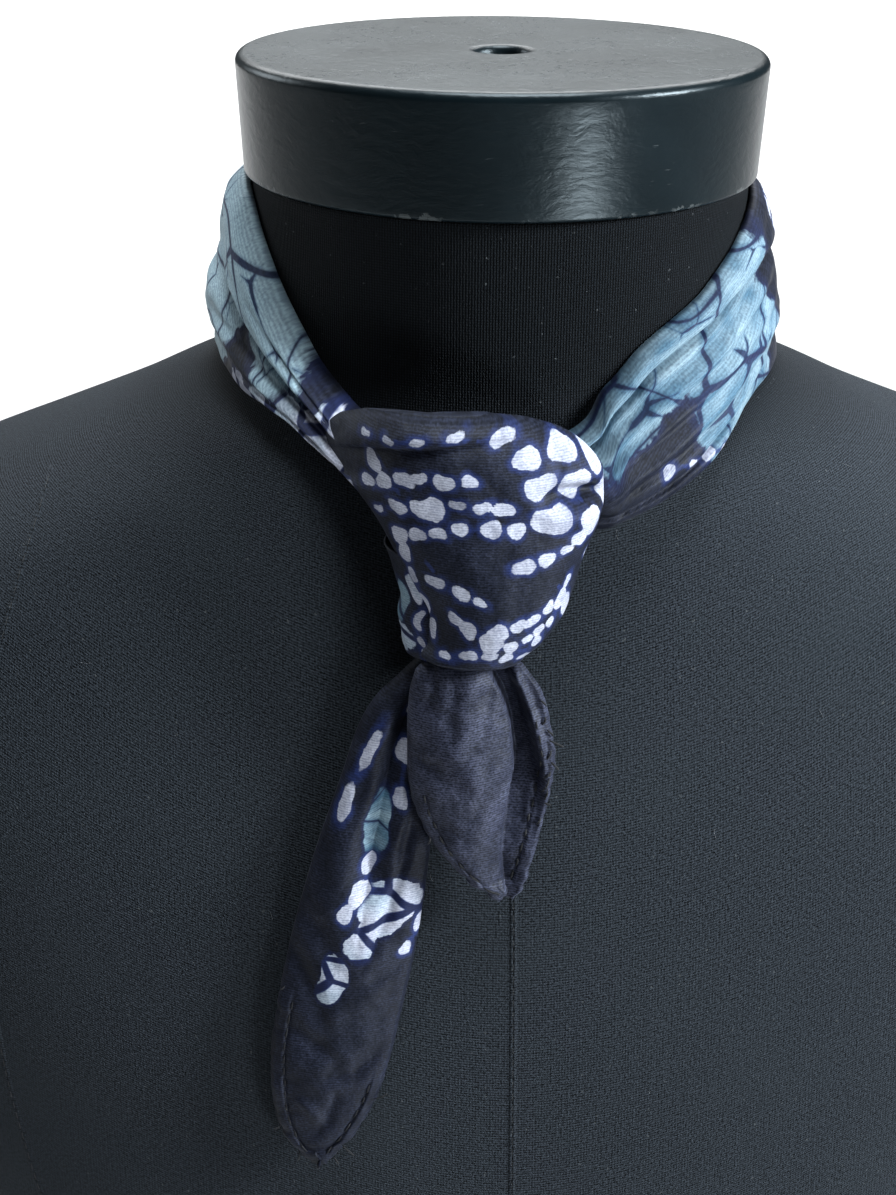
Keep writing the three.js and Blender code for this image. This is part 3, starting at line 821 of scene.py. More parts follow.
# How far the side seams lie from the form's middle, by the distance down
PRINCESS_SEAM = table(["down", "x"], [
    [62, 104],
    [80, 108],
    [100, 113],
    [130, 116],
    [170, 114],
    [230, 103],
    [300, 86],
    [392, 64],
    [480, 74],
    [570, 88],
])
SEAM_COLUMNS = ["name", "side", "from", "to", "back"]
SEAMS = [
    ["centre_front", 0, 118, 572, False],
    ["princess_left", -1, 64, 572, False],
    ["princess_right", 1, 64, 572, False],
    ["centre_back", 0, 52, 572, True],
    ["back_left", -0.9, 110, 572, True],
    ["back_right", 0.9, 110, 572, True],
]
SEAM_ACROSS = np.array([-0.9, -0.45, -0.09, 0, 0.09, 0.45, 0.9])
SEAM_RISE = [-0.06, 0.16, 0.08, 0.0, 0.08, 0.16, -0.06]
# painted shade across a seam, darkest in its valley
SEAM_SHADE = np.array([1, 1, 0.95, 0.8, 0.95, 1, 1])
SEAM_THICKNESS = 0.12
STITCH_STEP = 2.6
STITCH_LENGTH = 1.7
STITCH_RADIUS = 0.1
STITCH_LIFT = 0.2                  # a stitch's ends stand this far off the form, its middle by the arch more
STITCH_ARCH = 0.16


def seam_place(seam, offset, down, rise):
    """Places along a seam, moved beside it and out of the form."""
    x = seam["side"] * PRINCESS_SEAM(down)["x"] + offset
    out = form_depth(x, down, seam["back"]) + rise
    return place(x, out if seam["back"] else -out, down)


def make_seams(cloth, thread):
    """Each seam is a fine pressed pair of ridges with a valley darkened by painted shade, and a line of
    stitches in it.
    """
    stitches = []
    for seam in named(SEAM_COLUMNS, SEAMS):
        down = np.arange(seam["from"], seam["to"], 1.5)
        grid = np.stack([seam_place(seam, x, down, rise) for x, rise in zip(SEAM_ACROSS, SEAM_RISE)], axis=1)
        across, level = np.broadcast_arrays(SEAM_ACROSS, down[:, None])
        # painted shade by the neck and in the seam's valley, carried with the knit's change
        knit_and_shade = smooth(KNIT_AND_SHADE_FROM, KNIT_AND_SHADE_TO, level) * SEAM_SHADE
        uv = np.stack([across, level], axis=-1)
        name = "seam_" + seam["name"]
        side = -1 if seam["back"] else 1
        strip = shell(name, grid, SEAM_THICKNESS, uv, {"knit_and_shade": knit_and_shade}, side=side)
        finish_piece(strip, cloth, "jersey")
        for at in np.arange(seam["from"] + 1, seam["to"] - 3, STITCH_STEP):
            t = np.linspace(0, 1, 4)
            rise = STITCH_LIFT + STITCH_ARCH * arch(t)
            stitches.append(seam_place(seam, 0, at + STITCH_LENGTH * t, rise))
    return finish_piece(threads("seam_stitches", stitches, STITCH_RADIUS), thread, "jersey")


LINT_COUNT = 90
LINT_LEVELS = (50, 330)
LINT_LENGTHS = (0.9, 3)
LINT_RADIUS = 0.045


def make_lint(material):
    """Short curled fibres that cling to the jersey."""
    draw = np.random.RandomState(17)
    t = np.linspace(0, 1, 7)
    paths = []
    for _ in range(LINT_COUNT):
        turn = draw.uniform(0, 360)
        down = draw.uniform(*LINT_LEVELS)
        way = draw.uniform(0, 2 * math.pi)
        length = draw.uniform(*LINT_LENGTHS)
        head = way + draw.uniform(-1.4, 1.4) * t
        across = np.cumsum(np.cos(head)) * length / len(t)
        levels = down + np.cumsum(np.sin(head)) * length / len(t)
        turns = np.radians(turn) + across / form_radius(turn, down)
        r = form_radius(np.degrees(turns), levels) + 0.12 + 0.15 * arch(t)
        paths.append(place(-r * np.sin(turns), -r * np.cos(turns), levels))
    return finish_piece(threads("lint_fibres", paths, LINT_RADIUS), material, "jersey")


CAP_SIDES = 256
CAP_TAPER = 1.1                    # how much narrower the cap is at its foot
CAP_FOOT_ROUND = 0.8
CAP_TOP_ROUND = 2
SOCKET_RADIUS = 6
SOCKET_ROUND = 1.6


def arc(r, z, radius, angles, count, rim):
    """Points of a profile round a centre, each with how worn it is."""
    turns = np.radians(np.linspace(*angles, count))
    return [(r + radius * math.cos(a), z + radius * math.sin(a), rim) for a in turns]


def make_cap(material):
    """The neck cap, turned, with rounded edges and a socket; rim and upper are fields for its wear."""
    foot = CAP_RADIUS - CAP_TAPER
    profile = [(0.3, 0, 0), (foot - 8, 0, 0), (foot - 1, 0, 0.6)]
    profile += arc(foot - CAP_FOOT_ROUND, CAP_FOOT_ROUND, CAP_FOOT_ROUND, (-90, 0), 7, 1)
    straight = CAP_HEIGHT - CAP_FOOT_ROUND - CAP_TOP_ROUND
    for t in np.linspace(0.05, 1, 16):
        profile.append((foot + CAP_TAPER * t, CAP_FOOT_ROUND + straight * t, max(0, 1 - t * 9)))
    profile += arc(CAP_RADIUS - CAP_TOP_ROUND, CAP_HEIGHT - CAP_TOP_ROUND, CAP_TOP_ROUND, (8, 90), 9, 0.45)
    profile += [(r, CAP_HEIGHT, 0) for r in np.linspace(CAP_RADIUS - 3, SOCKET_RADIUS + 2.5, 24)]
    profile += arc(SOCKET_RADIUS + SOCKET_ROUND, CAP_HEIGHT - SOCKET_ROUND, SOCKET_ROUND, (90, 180), 6, 0.3)
    profile += [(5.6, CAP_HEIGHT - 2.8, 0), (5.0, CAP_HEIGHT - 3.4, 0), (0.3, CAP_HEIGHT - 3.5, 0)]
    turn = np.linspace(0, 2 * math.pi, CAP_SIDES + 1)
    r, z, rim = (column[:, None] for column in np.array(profile).T)
    grid = place(r * np.sin(turn), r * np.cos(turn), -z)
    along = lengths(grid, 0)
    uv = np.stack([turn[None] * CAP_RADIUS + 0 * along, along], axis=-1)
    fields = {"rim": rim + 0 * along, "upper": (z > CAP_HEIGHT - 0.01) + 0 * along}
    piece = make_mesh("cap_turned", grid, grid_faces(len(profile), CAP_SIDES + 1), uv, fields)
    return finish_piece(piece, material, "cap", "neck_cap")


# Creases on the band: along it in millimetres, and across it in hundredths of its height
BAND_RATE = 1.15                   # millimetres of band in a degree of turn
BAND_CREASES = [
    [34, 60, 100, 71, 1.5, 4],
    [36, 77, 84, 82, 1.2, 4],
    [44, 90, 112, 89, 0.8, 4],
    [34, 21, 74, 24, 1.0, 4],
    [60, 33, 104, 29, 0.6, 4],
    [66, 58, 132, 50, 1.0, 4.5],
    [58, 66, 124, 80, -0.7, 5],
    [104, 74, 198, 69, 1.4, 4.5],
    [118, 48, 212, 55, 1.1, 5],
    [160, 88, 242, 84, 1.0, 4],
    [150, 24, 238, 28, 0.7, 4],
    [200, 66, 294, 61, 1.3, 4.5],
    [236, 44, 320, 49, 1.1, 5],
    [262, 78, 332, 76, 1.0, 4],
    [276, 31, 340, 35, 0.9, 4],
    [397, 24, 322, 31, 1.5, 3.2],
    [395, 36, 318, 44, 1.8, 4],
    [396, 46, 328, 57, 1.4, 4],
    [396, 62, 336, 73, 1.3, 4],
    [393, 26, 350, 28, 0.6, 2.5],
    [374, 84, 318, 80, 0.8, 4],
    [372, 50, 306, 67, -0.8, 6],
    [388, 8, 340, 9, 0.5, 3],
]
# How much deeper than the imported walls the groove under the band's upper roll is, by turn
GROOVE = table(["turn", "deep"], [
    [22, 3.6],
    [36, 4.4],
    [50, 4.6],
    [75, 3.2],
    [110, 1.2],
    [250, 1.0],
    [290, 2.2],
    [330, 3.6],
    [350, 3.6],
])
BAND_HEM = {"from": 296, "wide": 4, "height": 0.5, "gully": 1.2}   # the rolled hem along the lower edge

BAND_TEAL = [
    (84, 3, 33, 8.5, 0),
    (101, 20, 26, 20, 0),
    (104, 36, 22, 10, 0),
    (150, 26, 26, 11, 5),
    (236, 16, 26, 13, -6),
    (368, 0, 33, 12, -3),
    (355, 16, 21, 14.5, -4),
]
BAND_PETAL = [
    (41, 5.5, 8, 2.4, 8),
    (54, 11.5, 9, 2.6, 24),
    (67, 19, 5.5, 2.2, 32),
    (49.5, 6.6, 4, 1.5, 14),
    (39, 0.6, 3.4, 1.8, 0),
    (33, 1.5, 4, 2.4, 0),
    (205, 30, 16, 6, 0),
    (315, 5, 7, 5, 0),
]
BAND_PEBBLES = [
    [70, 36, 96, 40, 1, 5, 1.9, 1.1],
    [118, 8, 190, 6, 2, 11, 2.4, 1.5],
    [122, 34, 185, 38, -2, 10, 2.2, 1.4],
    [255, 28, 292, 34, 2, 6, 2.4, 1.6],
    [250, 8, 285, 10, -1, 5, 2.0, 1.3],
    [362, 27, 384, 19, 1, 5, 1.6, 1.1],
]


def band_outer(turn, v):
    """The outside of the band, with the distance down it; its edges curl in and all but touch the neck."""
    b = BAND(turn)
    top = np.maximum(b["top"] - BAND_LIFT, 0.5)
    low = b["low"] + BAND_SINK
    down = top + (low - top) * v
    share = b["share"]
    upper = v < share
    t = np.where(upper, v / share, (v - share) / (1 - share))
    stand = np.where(upper, b["roll"], b["main"]) - b["floor"]
    out = BAND_SNUG + (b["floor"] + WALL + 1.3) * arch(v) ** 0.42 + stand * arch(t) ** 0.75
    gap = (v - share) * (low - top)
    out = out - GROOVE(turn)["deep"] * np.where(gap < 0, bell(gap, 1.0), np.exp(-gap / 2.4))
    along = turn * BAND_RATE
    soft = 0.45 * swell(along * 0.35, v * 60, 16, 5) + 0.14 * swell(along * 0.6, v * 60, 8, 6)
    body = smooth(0.0, 0.12, v) * (1 - smooth(0.9, 1.0, v))
    out = out + (soft - creases(along, v * 100, BAND_CREASES)) * body
    inside = low - down
    hem = 1 - smooth(BAND_HEM["wide"] - 0.3, BAND_HEM["wide"] + 0.3, inside)
    gully = bell(inside - BAND_HEM["wide"] - 0.6, 0.7)
    here = smooth(BAND_HEM["from"], BAND_HEM["from"] + 25, turn) * smooth(0, 1.5, inside)
    out = out + (BAND_HEM["height"] * hem - BAND_HEM["gully"] * gully) * here
    r = form_radius(turn, down) + out
    return place(-r * np.sin(np.radians(turn)), -r * np.cos(np.radians(turn)), down), down - b["top"]


def make_band(material):
    """The band from one side of the knot round the nape to the other."""
    turn = np.linspace(BAND_FROM, BAND_TO, 440)[:, None]
    v = spaced(78, 0.55)[None]
    outer, height = band_outer(turn, v)
    along = turn * BAND_RATE + 0 * v
    fields = print_fields(along, height, BAND_PEBBLES, 3, BAND_TEAL, BAND_PETAL)
    # where the band's left part is painted paler: partly its dye, partly painted light from the left
    fields["pale_dye_and_light"] = 1 - smooth(100, 135, along)
    piece = shell("scarf_band", outer, SILK, np.stack([along, height], axis=-1), fields)
    return finish_piece(piece, material, "print_blue", "band_left", "band_back", "band_right")


def knot_dent(x, down):
    """How far the knot's front is drawn in: a fold that overlaps, and a dimple with a ridge below."""
    f = FURROW
    fade = np.clip((f["right"] - x) / (f["right"] - f["left"]), 0, 1) ** 0.6
    off = down - f["down"] + f["rise"] * (x - f["left"])
    above = np.minimum(off, 0)
    below = np.maximum(off, 0)
    over = bell(above + f["crest"], f["round"]) * np.exp(-below / f["edge"])
    under = np.where(off < 0, np.exp(above / f["heel"]), np.exp(-below / f["reach"]))
    fold = (f["under"] * under - f["over"] * over) * fade * smooth(-40, -37, x)
    dx = (x - DIMPLE["x"]) / DIMPLE["wide"]
    dy = down - DIMPLE["down"] + DIMPLE["tilt"] * (x - DIMPLE["x"])
    dimple = DIMPLE["depth"] * bell(dx, 1) * bell(dy, DIMPLE["high"])
    ridge = DIMPLE_RIDGE["height"] * bell(dx, 1) * bell(dy - DIMPLE_RIDGE["below"], DIMPLE_RIDGE["high"])
    return fold + dimple - ridge


KNOT_CREASES = [
    [-30, 50, -12, 80, 0.5, 2.0],
    [14, 56, 2, 80, 0.6, 2.2],
    [16, 52, -6, 60, 0.35, 2.4],
    [-26, 40, 8, 37, -0.4, 2.2],
    [-4, 62, -8, 81, -0.5, 2.6],
    [-22, 64, -14, 81, 0.5, 1.6],
    [8, 66, -1, 81, 0.45, 1.4],
]


def knot_point(down, angle, out):
    """The outside of the wrap, moved out by the given distance: x, y and the distance down."""
    s = KNOT(down)
    middle = (s["front"] + s["back"]) / 2
    half = np.maximum((s["right"] - s["left"]) / 2 + out, 0.5)
    depth = np.maximum((s["front"] - s["back"]) / 2 + out, 0.4)
    x, y = section(angle, half, depth, depth, np.where(np.cos(angle) < 0, s["tip"], s["square"]))
    x = x + (s["right"] + s["left"]) / 2
    facing = np.where(y < 0, np.clip(-2 * y / depth, 0, 1), 0)
    dent = knot_dent(x, down) + creases(x, down, KNOT_CREASES)
    dent = dent + 0.22 * swell(x, down, 15, 8) + 0.1 * swell(x, down, 6, 9)
    back = TUCK["curve"] * np.maximum(TUCK["x"] - x, 0) ** 2 * (1 - smooth(TUCK["from"], TUCK["to"], down))
    slope = KNOT_SLOPE * np.clip(y / depth, 0, 1) * (1 - smooth(KNOT_TOP, KNOT_TOP + 14, down))
    return x, -middle + y + dent * facing + KNOT_BEND * x * x + back, down + TUCK["drop"] * back + slope


# The wrap's print, in millimetres round the knot from its front and down from the cap
WRAP_PEBBLES = [
    [-33, 39.5, -20, 38.6, 0.4, 3, 2.2, 0.9],
    [-12, 37.6, -3, 37.8, 0.4, 2, 2.4, 1.2],
    [-33, 48.5, -9, 45.2, -0.8, 6, 2.0, 1.15],
    [-30, 53, -2, 50, -1.4, 7, 1.9, 1.0],
    [-26, 57.5, -1, 54, -1.2, 6, 2.2, 1.4],
    [1, 61, 14, 57.5, 0.4, 4, 2.1, 1.1],
    [-25, 60.5, -20, 75, 0.8, 4, 1.7, 1.4],
    [-17, 65, -8, 67.5, 0, 3, 1.9, 1.1],
    [12, 65, 4, 76.5, -0.8, 4, 1.7, 1.1],
    [-14, 71.5, -6, 75.5, 0, 3, 2.0, 1.4],
    [-15, 79, 2, 79.5, -0.8, 5, 2.0, 0.9],
    [-5, 73.2, 7, 69.6, 0.6, 4, 2.0, 1.2],
    [-2, 76.4, 5, 73.8, 0.3, 3, 1.7, 1.1],
    [24, 50, 60, 56, 2, 7, 2.8, 1.8],
    [-42, 52, -70, 58, 2, 6, 2.6, 1.6],
    [20, 62, 56, 66, 1, 6, 2.6, 1.8],
    [-34, 66, -62, 72, 1, 6, 2.4, 1.6],
]
# Pale blobs, each with a place, two half sizes and an angle
WRAP_BLOBS = [
    (3, 41.4, 3.2, 1.9, 8),
    (11, 40.6, 3.6, 2.3, 24),
    (20, 43.4, 3.6, 2.4, 58),
    (5.5, 46.6, 3.4, 2.2, -12),
    (14, 47.4, 3.8, 2.7, 16),
    (24, 50.6, 3.4, 2.6, 76),
    (7.6, 53, 4.2, 2.6, 6),
    (17, 54.6, 3.2, 2.5, -34),
    (24.6, 58.6, 3, 2.0, 84),
    (-17.5, 51, 3.6, 2.0, -10),
    (-31.5, 44.6, 2.8, 1.5, 40),
    (12.5, 71, 2.4, 1.8, 60),
]
WRAP_LINKS = [
    [-31.5, 44.6, -17.5, 51, 0.8],
    [5.5, 46.6, 7.6, 53, 0.6],
    [14, 47.4, 17, 54.6, -0.5],
    [3, 41.4, 5.5, 46.6, 0.4],
    [-12, 72, -20, 61, 1.0],
    [-7, 75, 4, 78, 0.6],
    [12.5, 71, 9, 66, 0.3],
]


def make_wrap(material):
    """A shell closed over the knot's top and open below, where the ends come out."""
    angle = -math.pi / 2 + np.linspace(0, 2 * math.pi, 320, endpoint=False)
    down = KNOT_TOP + (KNOT_LOW - KNOT_TOP) * np.linspace(0, 1, 120) ** 1.25
    rings = place(*knot_point(down[:, None], angle[None], 0))
    middle = rings[0].mean(axis=0)
    crown = np.array([0, 0, 0.5 * MM])
    shares = (0.02, 0.25, 0.5, 0.75, 0.92)
    cover = [middle + (rings[0] - middle) * k + crown * (1 - k * k) for k in shares]
    grid = np.concatenate([cover, rings])
    whole = lengths(np.concatenate([grid, grid[:, :1]], axis=1), 1)
    around = np.where(whole > whole[:, -1:] / 2, whole - whole[:, -1:], whole)[:, :-1]
    around = around + grid[:, :, 0].mean(axis=1, keepdims=True) / MM
    high = CAP_BASE_Z - grid[:, :, 2] / MM
    fields = print_fields(around, high, WRAP_PEBBLES, 11, blobs=WRAP_BLOBS, more_links=WRAP_LINKS)
    piece = shell("knot_wrap_silk", grid, SILK, np.stack([around, high], axis=-1), fields, loop=True)
    return finish_piece(piece, material, "print_dark", "knot_wrap", "knot_core")


UNDER_PEBBLES = [[20, 73, 18, 81, 0, 4, 1.2, 0.8]]
UNDER_TEAL = [(14, 72.5, 2.2, 4.6, 12)]
UNDER_PETAL = [
    (12, 79, 5, 2.6, 0),
    (19, 68, 1.6, 3.6, 0),
]


UNDER_SILK = 0.5


def make_under(material):
    """The layer that shows beyond the wrap's lower left edge, with a leaf in its print."""
    down = np.linspace(*UNDER_LEVELS, 70)[:, None]
    share = np.linspace(0, 1, 60)[None]
    angle = np.radians(UNDER_ANGLES[0] + (UNDER_ANGLES[1] - UNDER_ANGLES[0]) * share)
    out = (UNDER(down)["out"] + 1.0) * (1 - smooth(0.55, 1.0, share)) - 0.6 * smooth(0.8, 1.0, share)
    x, y, _ = knot_point(np.minimum(down, KNOT_LOW), angle, out)
    grid = place(x, y, down)
    around = lengths(grid, 1)
    level = down + 0 * around
    fields = print_fields(around, level, UNDER_PEBBLES, 4, UNDER_TEAL, UNDER_PETAL)
    piece = shell("knot_under_silk", grid, UNDER_SILK, np.stack([around, level], axis=-1), fields)
    return finish_piece(piece, material, "print_dark", "knot_under")


LONG_CREASES = [
    [-33, 118, -26, 146, 0.8, 2.6],
    [-52, 138, -40, 160, 0.6, 2.0],
    [-13, 84, -25, 116, 1.5, 1.2],
    [-17, 98, -30, 128, -0.9, 1.8],
    [-21, 108, -33, 148, 1.2, 1.4],
    [-31, 100, -37, 122, 0.6, 1.6],
    [-46, 134, -34, 154, 0.5, 2.4],
    [-24, 146, -38, 152, 0.5, 1.8],
    [-30, 150, -44, 158, -0.5, 2.6],
    [-48, 160, -36, 170, 0.6, 2.0],
    [-29, 166, -42, 172, 0.5, 1.6],
    [-38, 174, -44, 186, 0.7, 1.4],
    [-46, 176, -40, 184, -0.5, 1.2],
]
SHORT_CREASES = [
    [-13, 83, -16, 98, 0.7, 1.8],
    [-6.5, 83, -8, 100, 0.6, 1.6],
    [-17, 84, -19.5, 93, 0.5, 1.2],
    [-1.2, 84, 5.8, 110, -3.2, 1.2],
    [5, 85, 7.6, 96, 1.0, 0.9],
    [-14, 98, -6, 120, -0.5, 3.2],
    [-19, 102, -9, 110, 0.5, 2.4],
    [4.5, 104, 2.5, 120, 0.7, 1.0],
    [-20, 90, -11, 96, 0.4, 2.0],
]
LONG_PEBBLES = [
    [-18, 90, -22, 96, 0, 2, 1.6, 1.4],
    [-31, 104, -35, 112, 0.5, 2, 3.6, 1.0],
    [-23, 104, -24, 112, 0, 2, 2.0, 1.7],
    [-31, 126, -36, 135, -1, 3, 2.2, 1.6],
    [-20, 138, -23, 143, 0, 2, 1.5, 1.1],
]
LONG_TEAL = [(-29, 118, 2.6, 7, 14)]
LONG_PETAL = [
    (-27, 134, 6.5, 5.5, -30),
    (-32.5, 141, 4, 3, -50),
    (-38.5, 149, 3, 5, 24),
]
SHORT_PEBBLES = [[-18, 92, -4, 112, 2, 6, 3, 2]]

# Threads that have come loose from the hems
THREAD_COLUMNS = ["side", "down", "lean", "fall", "length"]
LONG_THREADS = [
    [1, 176, 1.2, -0.9, 3.4],
    [1, 187, 1.0, 1.1, 3.8],
    [1, 190, 0.5, 1.2, 2.6],
    [0, 183, -1.2, 0.5, 2.4],
    [0, 189, -0.4, 1.4, 2.8],
    [0, 152, -1.0, 0.6, 2.0],
]
SHORT_THREADS = [
    [1, 91, 0.8, 1.0, 1.8],
    [1, 94.5, -0.7, 1.2, 2.2],
    [1, 97, 0.9, 1.1, 2.0],
    [1, 99, 1.4, 0.7, 3.2],
    [1, 101, -0.8, 1.3, 2.6],
    [1, 105.5, -1.0, 0.9, 2.4],
    [1, 109, -0.5, 1.4, 3.0],
    [1, 115, -0.8, 1.0, 2.2],
    [1, 103.5, 1.0, 1.2, 2.4],
    [1, 107, -0.9, 1.3, 3.6],
    [1, 112, 1.1, 0.4, 1.8],
    [0, 118, -0.6, 1.2, 2.2],
]

# Each end: where it starts and its tip lies, where its hems begin to show on the left and right, how far the
# part right of its fold lies behind it, the radius of its stitches, and its creases, threads and print
LONG_END = {
    "key": "long", "slot": "print_dark", "outline": TAIL_LONG, "start": 75, "tip": 192, "hems": (150, 168),
    "pocket": 0.0, "stitch": 0.17, "seed": 31, "columns": 100, "creases": LONG_CREASES,
    "threads": LONG_THREADS,
    "print": {"rows": LONG_PEBBLES, "seed": 21, "teal": LONG_TEAL, "petal": LONG_PETAL},
}
SHORT_END = {
    "key": "short", "slot": "reverse", "outline": TAIL_SHORT, "start": 75, "tip": 132, "hems": (104, 90),
    "pocket": 5.5, "stitch": 0.24, "seed": 41, "columns": 130, "creases": SHORT_CREASES,
    "threads": SHORT_THREADS,
    "print": {"rows": SHORT_PEBBLES, "seed": 9},
}
TAIL_SILK = 1.2


def tail_fold(end, s, x, v, down):
    """How far an end's two folds stand out, with the pocket beside the short end's fold."""
    split = s["split"]
    on_left = v < split
    t = np.where(on_left, v / split, (v - split) / (1 - split))
    fold = np.where(on_left, s["leftFold"], s["rightFold"]) * arch(t) ** 0.8
    if end["pocket"]:
        line = s["left"] + (s["right"] - s["left"]) * split
        under = smooth(line - 0.5, line + 0.4, x) * (1 - 0.75 * smooth(0.35, 1.0, t))
        depth = end["pocket"] * (1 - 0.75 * smooth(102, 120, down))
        depth = depth * smooth(end["start"] + 5, end["start"] + 9, down)
        return np.where(on_left, fold, fold * 0.4) - depth * under
    broad = 1.1 * s["leftFold"] * arch(v) ** 0.8
    return fold + (broad - fold) * smooth(120, 148, down)


def tail_outer(end, down, v):
    """An end's outside: soft folds, listed creases, and hems that pucker unevenly; its x and y."""
    s = end["outline"](down)
    x = s["left"] + (s["right"] - s["left"]) * v
    left = v < 0.5
    seed = end["seed"]
    edge = np.minimum(np.minimum(x - s["left"], s["right"] - x), (end["tip"] - down) * 0.7)
    hem_from = np.where(left, *end["hems"])
    hemmed = smooth(hem_from, hem_from + 8, down)
    hem = HEM_HEIGHT * (1 - smooth(HEM_WIDTH - 0.7, HEM_WIDTH + 0.4, edge)) * hemmed
    sewn = 0.34 * bell(edge - HEM_WIDTH, 0.45) * hemmed
    near = (1 - smooth(0.8, HEM_WIDTH + 1.2, edge)) * hemmed
    way = down + np.where(left, 0, 40)
    flat = 0 * x
    pucker = 0.2 * (0.35 * swell(way, flat, 5, seed + 2) + swell(way, flat, 13, seed + 3)) * near
    soft = 0.3 * swell(x, down, 18, seed) + 0.16 * swell(x, down, 7, seed + 1)
    out = s["stand"] + WALL + tail_fold(end, s, x, v, down) + hem - sewn + pucker + soft
    out = out - creases(x, down, end["creases"]) - 0.7 * (1 - smooth(0, 1.1, edge)) ** 2
    ragged = (0.22 + 0.6 * smooth(end["tip"] - 12, end["tip"] - 3, down)) * near
    ragged = ragged * swell(way, flat, 3.2, seed + 5)
    return x + ragged * np.where(left, -1, 1), -form_depth(x, down) - out


def make_tail(end, material):
    """One hanging end of the scarf, from inside the knot to its tip."""
    down = np.linspace(end["start"], end["tip"], int((end["tip"] - end["start"]) / 0.45))[:, None]
    v = spaced(end["columns"], 0.5)[None]
    x, y = tail_outer(end, down, v)
    level = down + 0 * v
    fields = print_fields(x, level, **end["print"])
    name = "tail_" + end["key"]
    piece = shell(name + "_silk", place(x, y, level), TAIL_SILK, np.stack([x, level], axis=-1), fields)
    return finish_piece(piece, material, end["slot"], name)


STITCHES_FROM = 5                  # stitches start this far below a hem's start
STITCHES_TO = 3                    # and stop this far above the tip


def hem_stitches(end):
    """Small stitches along both edges of an end, where its hem is sewn down."""
    draw = np.random.RandomState(end["seed"])
    t = np.linspace(0, 1, 4)
    paths = []
    for side, hem in enumerate(end["hems"]):
        at = hem + STITCHES_FROM
        while at < end["tip"] - STITCHES_TO:
            length = draw.uniform(1.3, 2.0)
            down = at + length * t
            s = end["outline"](down)
            width = np.maximum(s["right"] - s["left"], 1)
            inset = np.clip((HEM_WIDTH + draw.uniform(-0.15, 0.15)) / width, 0, 0.42)
            x, y = tail_outer(end, down, 1 - inset if side else inset)
            paths.append(place(x, y - 0.16 - 0.2 * arch(t), down))
            at += length + draw.uniform(1.0, 1.5)
    return paths


def loose_threads(end):
    """Thread ends that have come loose from an end's hems."""
    t = np.linspace(0, 1, 9)
    paths = []
    for row in named(THREAD_COLUMNS, end["threads"]):
        x, y = tail_outer(end, np.array(float(row["down"])), np.array(0.97 if row["side"] else 0.03))
        bend = np.sin(t * 2.4) * 0.35 * row["length"]
        away = row["length"] * t * 0.6
        across = x + row["lean"] * away + bend * 0.4
        paths.append(place(across, y - 0.3 - bend * 0.5, row["down"] + row["fall"] * away))
    return paths


def make_stitches(end, material):
    piece = threads("stitches_" + end["key"], hem_stitches(end) + loose_threads(end), end["stitch"])
    return finish_piece(piece, material, end["slot"])


# Camera and studio

def make_scene_camera():
    """The camera that took the photo."""
    pitch, yaw, roll = (math.radians(CAMERA[key]) for key in ("pitch", "yaw", "roll"))
    ahead = Vector((-math.sin(yaw) * math.cos(pitch), math.cos(yaw) * math.cos(pitch), -math.sin(pitch)))
    right = Vector((math.cos(yaw), math.sin(yaw), 0))
    up = right.cross(ahead)
    right_rolled = math.cos(roll) * right + math.sin(roll) * up
    up_rolled = -math.sin(roll) * right + math.cos(roll) * up
    data = bpy.data.cameras.new("camera")
    data.sensor_width = SENSOR
    data.lens = FOCAL_PX * SENSOR / PHOTO_HEIGHT_PX
    data.clip_end = 100
    camera = add_object("camera", data)
    turned = Matrix((right_rolled, up_rolled, -ahead)).transposed().to_4x4()
    at = place(CAMERA["x"], CAMERA["y"], -CAMERA["up"])
    camera.matrix_world = Matrix.Translation(Vector(at)) @ turned
    bpy.context.scene.camera = camera


COOL = (0.87, 0.95, 1.0)
NEUTRAL = (0.97, 0.99, 1)
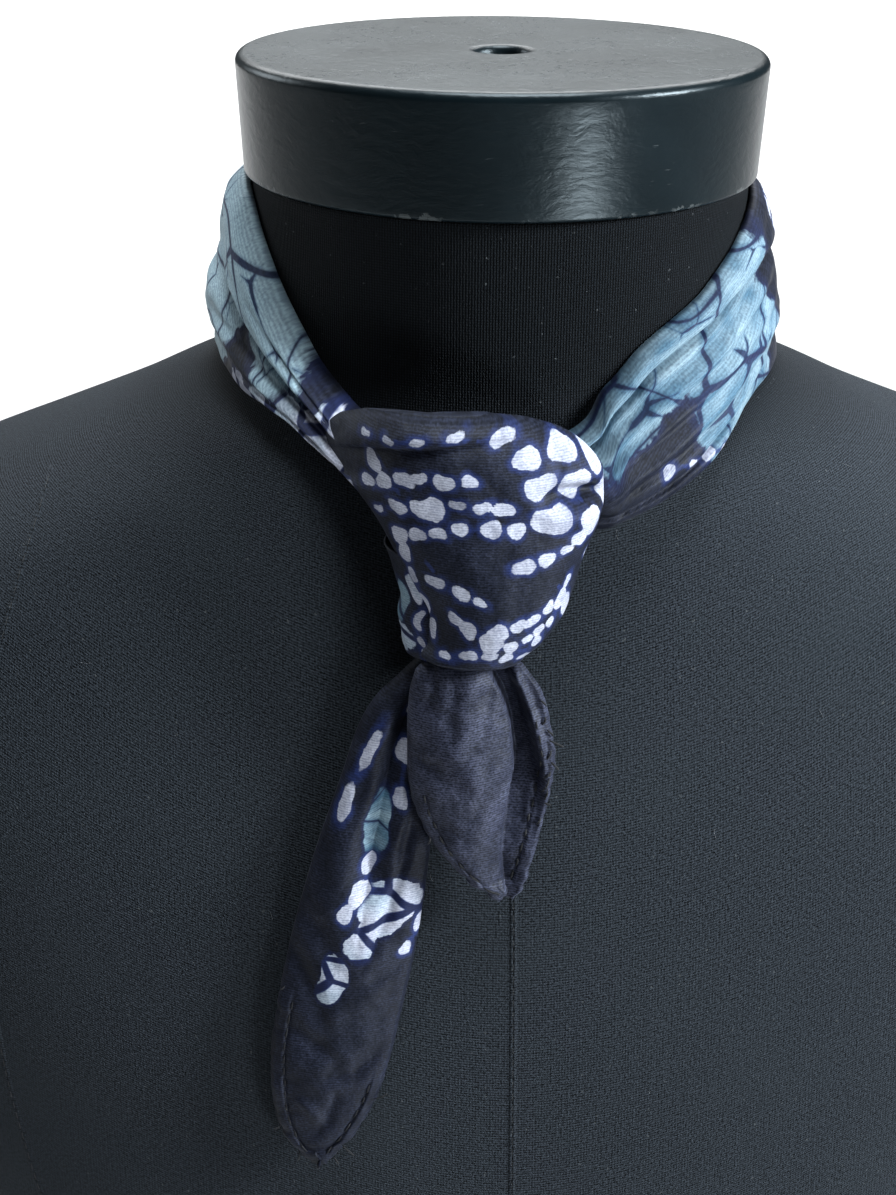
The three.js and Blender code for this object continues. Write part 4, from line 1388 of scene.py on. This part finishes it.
# Round lamps in metres and watts, with the angle that each spreads its light over
LIGHT_COLUMNS = ["name", "at", "to", "size", "power", "spread"]
LIGHTS = [
    ["key_right", (1.25, -0.4, 1.1), (0.11, -0.06, 0.5), 0.42, 5.1, 60],
    ["rim_left", (-1.2, 0.7, 1.0), (-0.03, 0, 0.56), 0.7, 0.75, 60],
    ["low_right", (0.6, -0.9, 0.14), (0.02, -0.05, 0.56), 0.3, 0.8, 60],
    ["above", (0.1, 0.1, 2.0), (0.02, 0, 0.5), 0.9, 9.5, 90],
    ["backdrop", (0, 3.8, 2.7), (0, 3.9, 0), 5.0, 280, 180],
    ["floor_left", (-5.8, 0, 2.6), (-5.8, 0.01, 0), 4.0, 50, 70],
    ["floor_right", (5.8, 0, 2.6), (5.8, 0.01, 0), 4.0, 50, 70],
    ["floor_front", (0, -5.8, 2.6), (0, -5.81, 0), 4.0, 50, 70],
]
WORLD_STRENGTH = 0.045
FLOOR_SIZE = 60                    # in metres


def make_studio():
    """A pale floor under soft lamps, with a dim even surround."""
    bpy.ops.mesh.primitive_plane_add(size=FLOOR_SIZE)
    floor = bpy.context.object
    floor.name = "floor"
    floor.data.materials.append(floor_material())
    for row in named(LIGHT_COLUMNS, LIGHTS):
        data = bpy.data.lights.new(row["name"], "AREA")
        data.shape = "DISK"
        data.size = row["size"]
        data.energy = row["power"]
        data.spread = math.radians(row["spread"])
        data.color = NEUTRAL if row["name"] == "backdrop" else COOL
        light = add_object(row["name"], data)
        light.location = row["at"]
        light.rotation_euler = (Vector(row["to"]) - light.location).to_track_quat("-Z", "Y").to_euler()
    world = bpy.data.worlds.new("studio")
    world.use_nodes = True
    background = world.node_tree.nodes["Background"].inputs
    background["Color"].default_value = (1, 1, 1, 1)
    background["Strength"].default_value = WORLD_STRENGTH
    bpy.context.scene.world = world
    bpy.context.scene.view_settings.view_transform = "Standard"


make_scene_camera()
make_studio()
print_cloth = silk_print()
reverse_cloth = silk_reverse()
black_jersey = jersey()
black_thread = thread_material("black_thread", (0.02, 0.02, 0.022), (0.003, 0.003, 0.004))
silk_thread = thread_material("silk_thread", (0.005, 0.005, 0.008), (0.001, 0.001, 0.002))

make_form(black_jersey)
make_seams(black_jersey, black_thread)
make_lint(thread_material("lint", (0.16, 0.16, 0.17), (0.06, 0.06, 0.07)))
make_cap(cap_paint())
band = make_band(print_cloth)
wrap = make_wrap(print_cloth)
under = make_under(print_cloth)
long_end = make_tail(LONG_END, print_cloth)
short_end = make_tail(SHORT_END, reverse_cloth)
long_stitches = make_stitches(LONG_END, silk_thread)
short_stitches = make_stitches(SHORT_END, silk_thread)
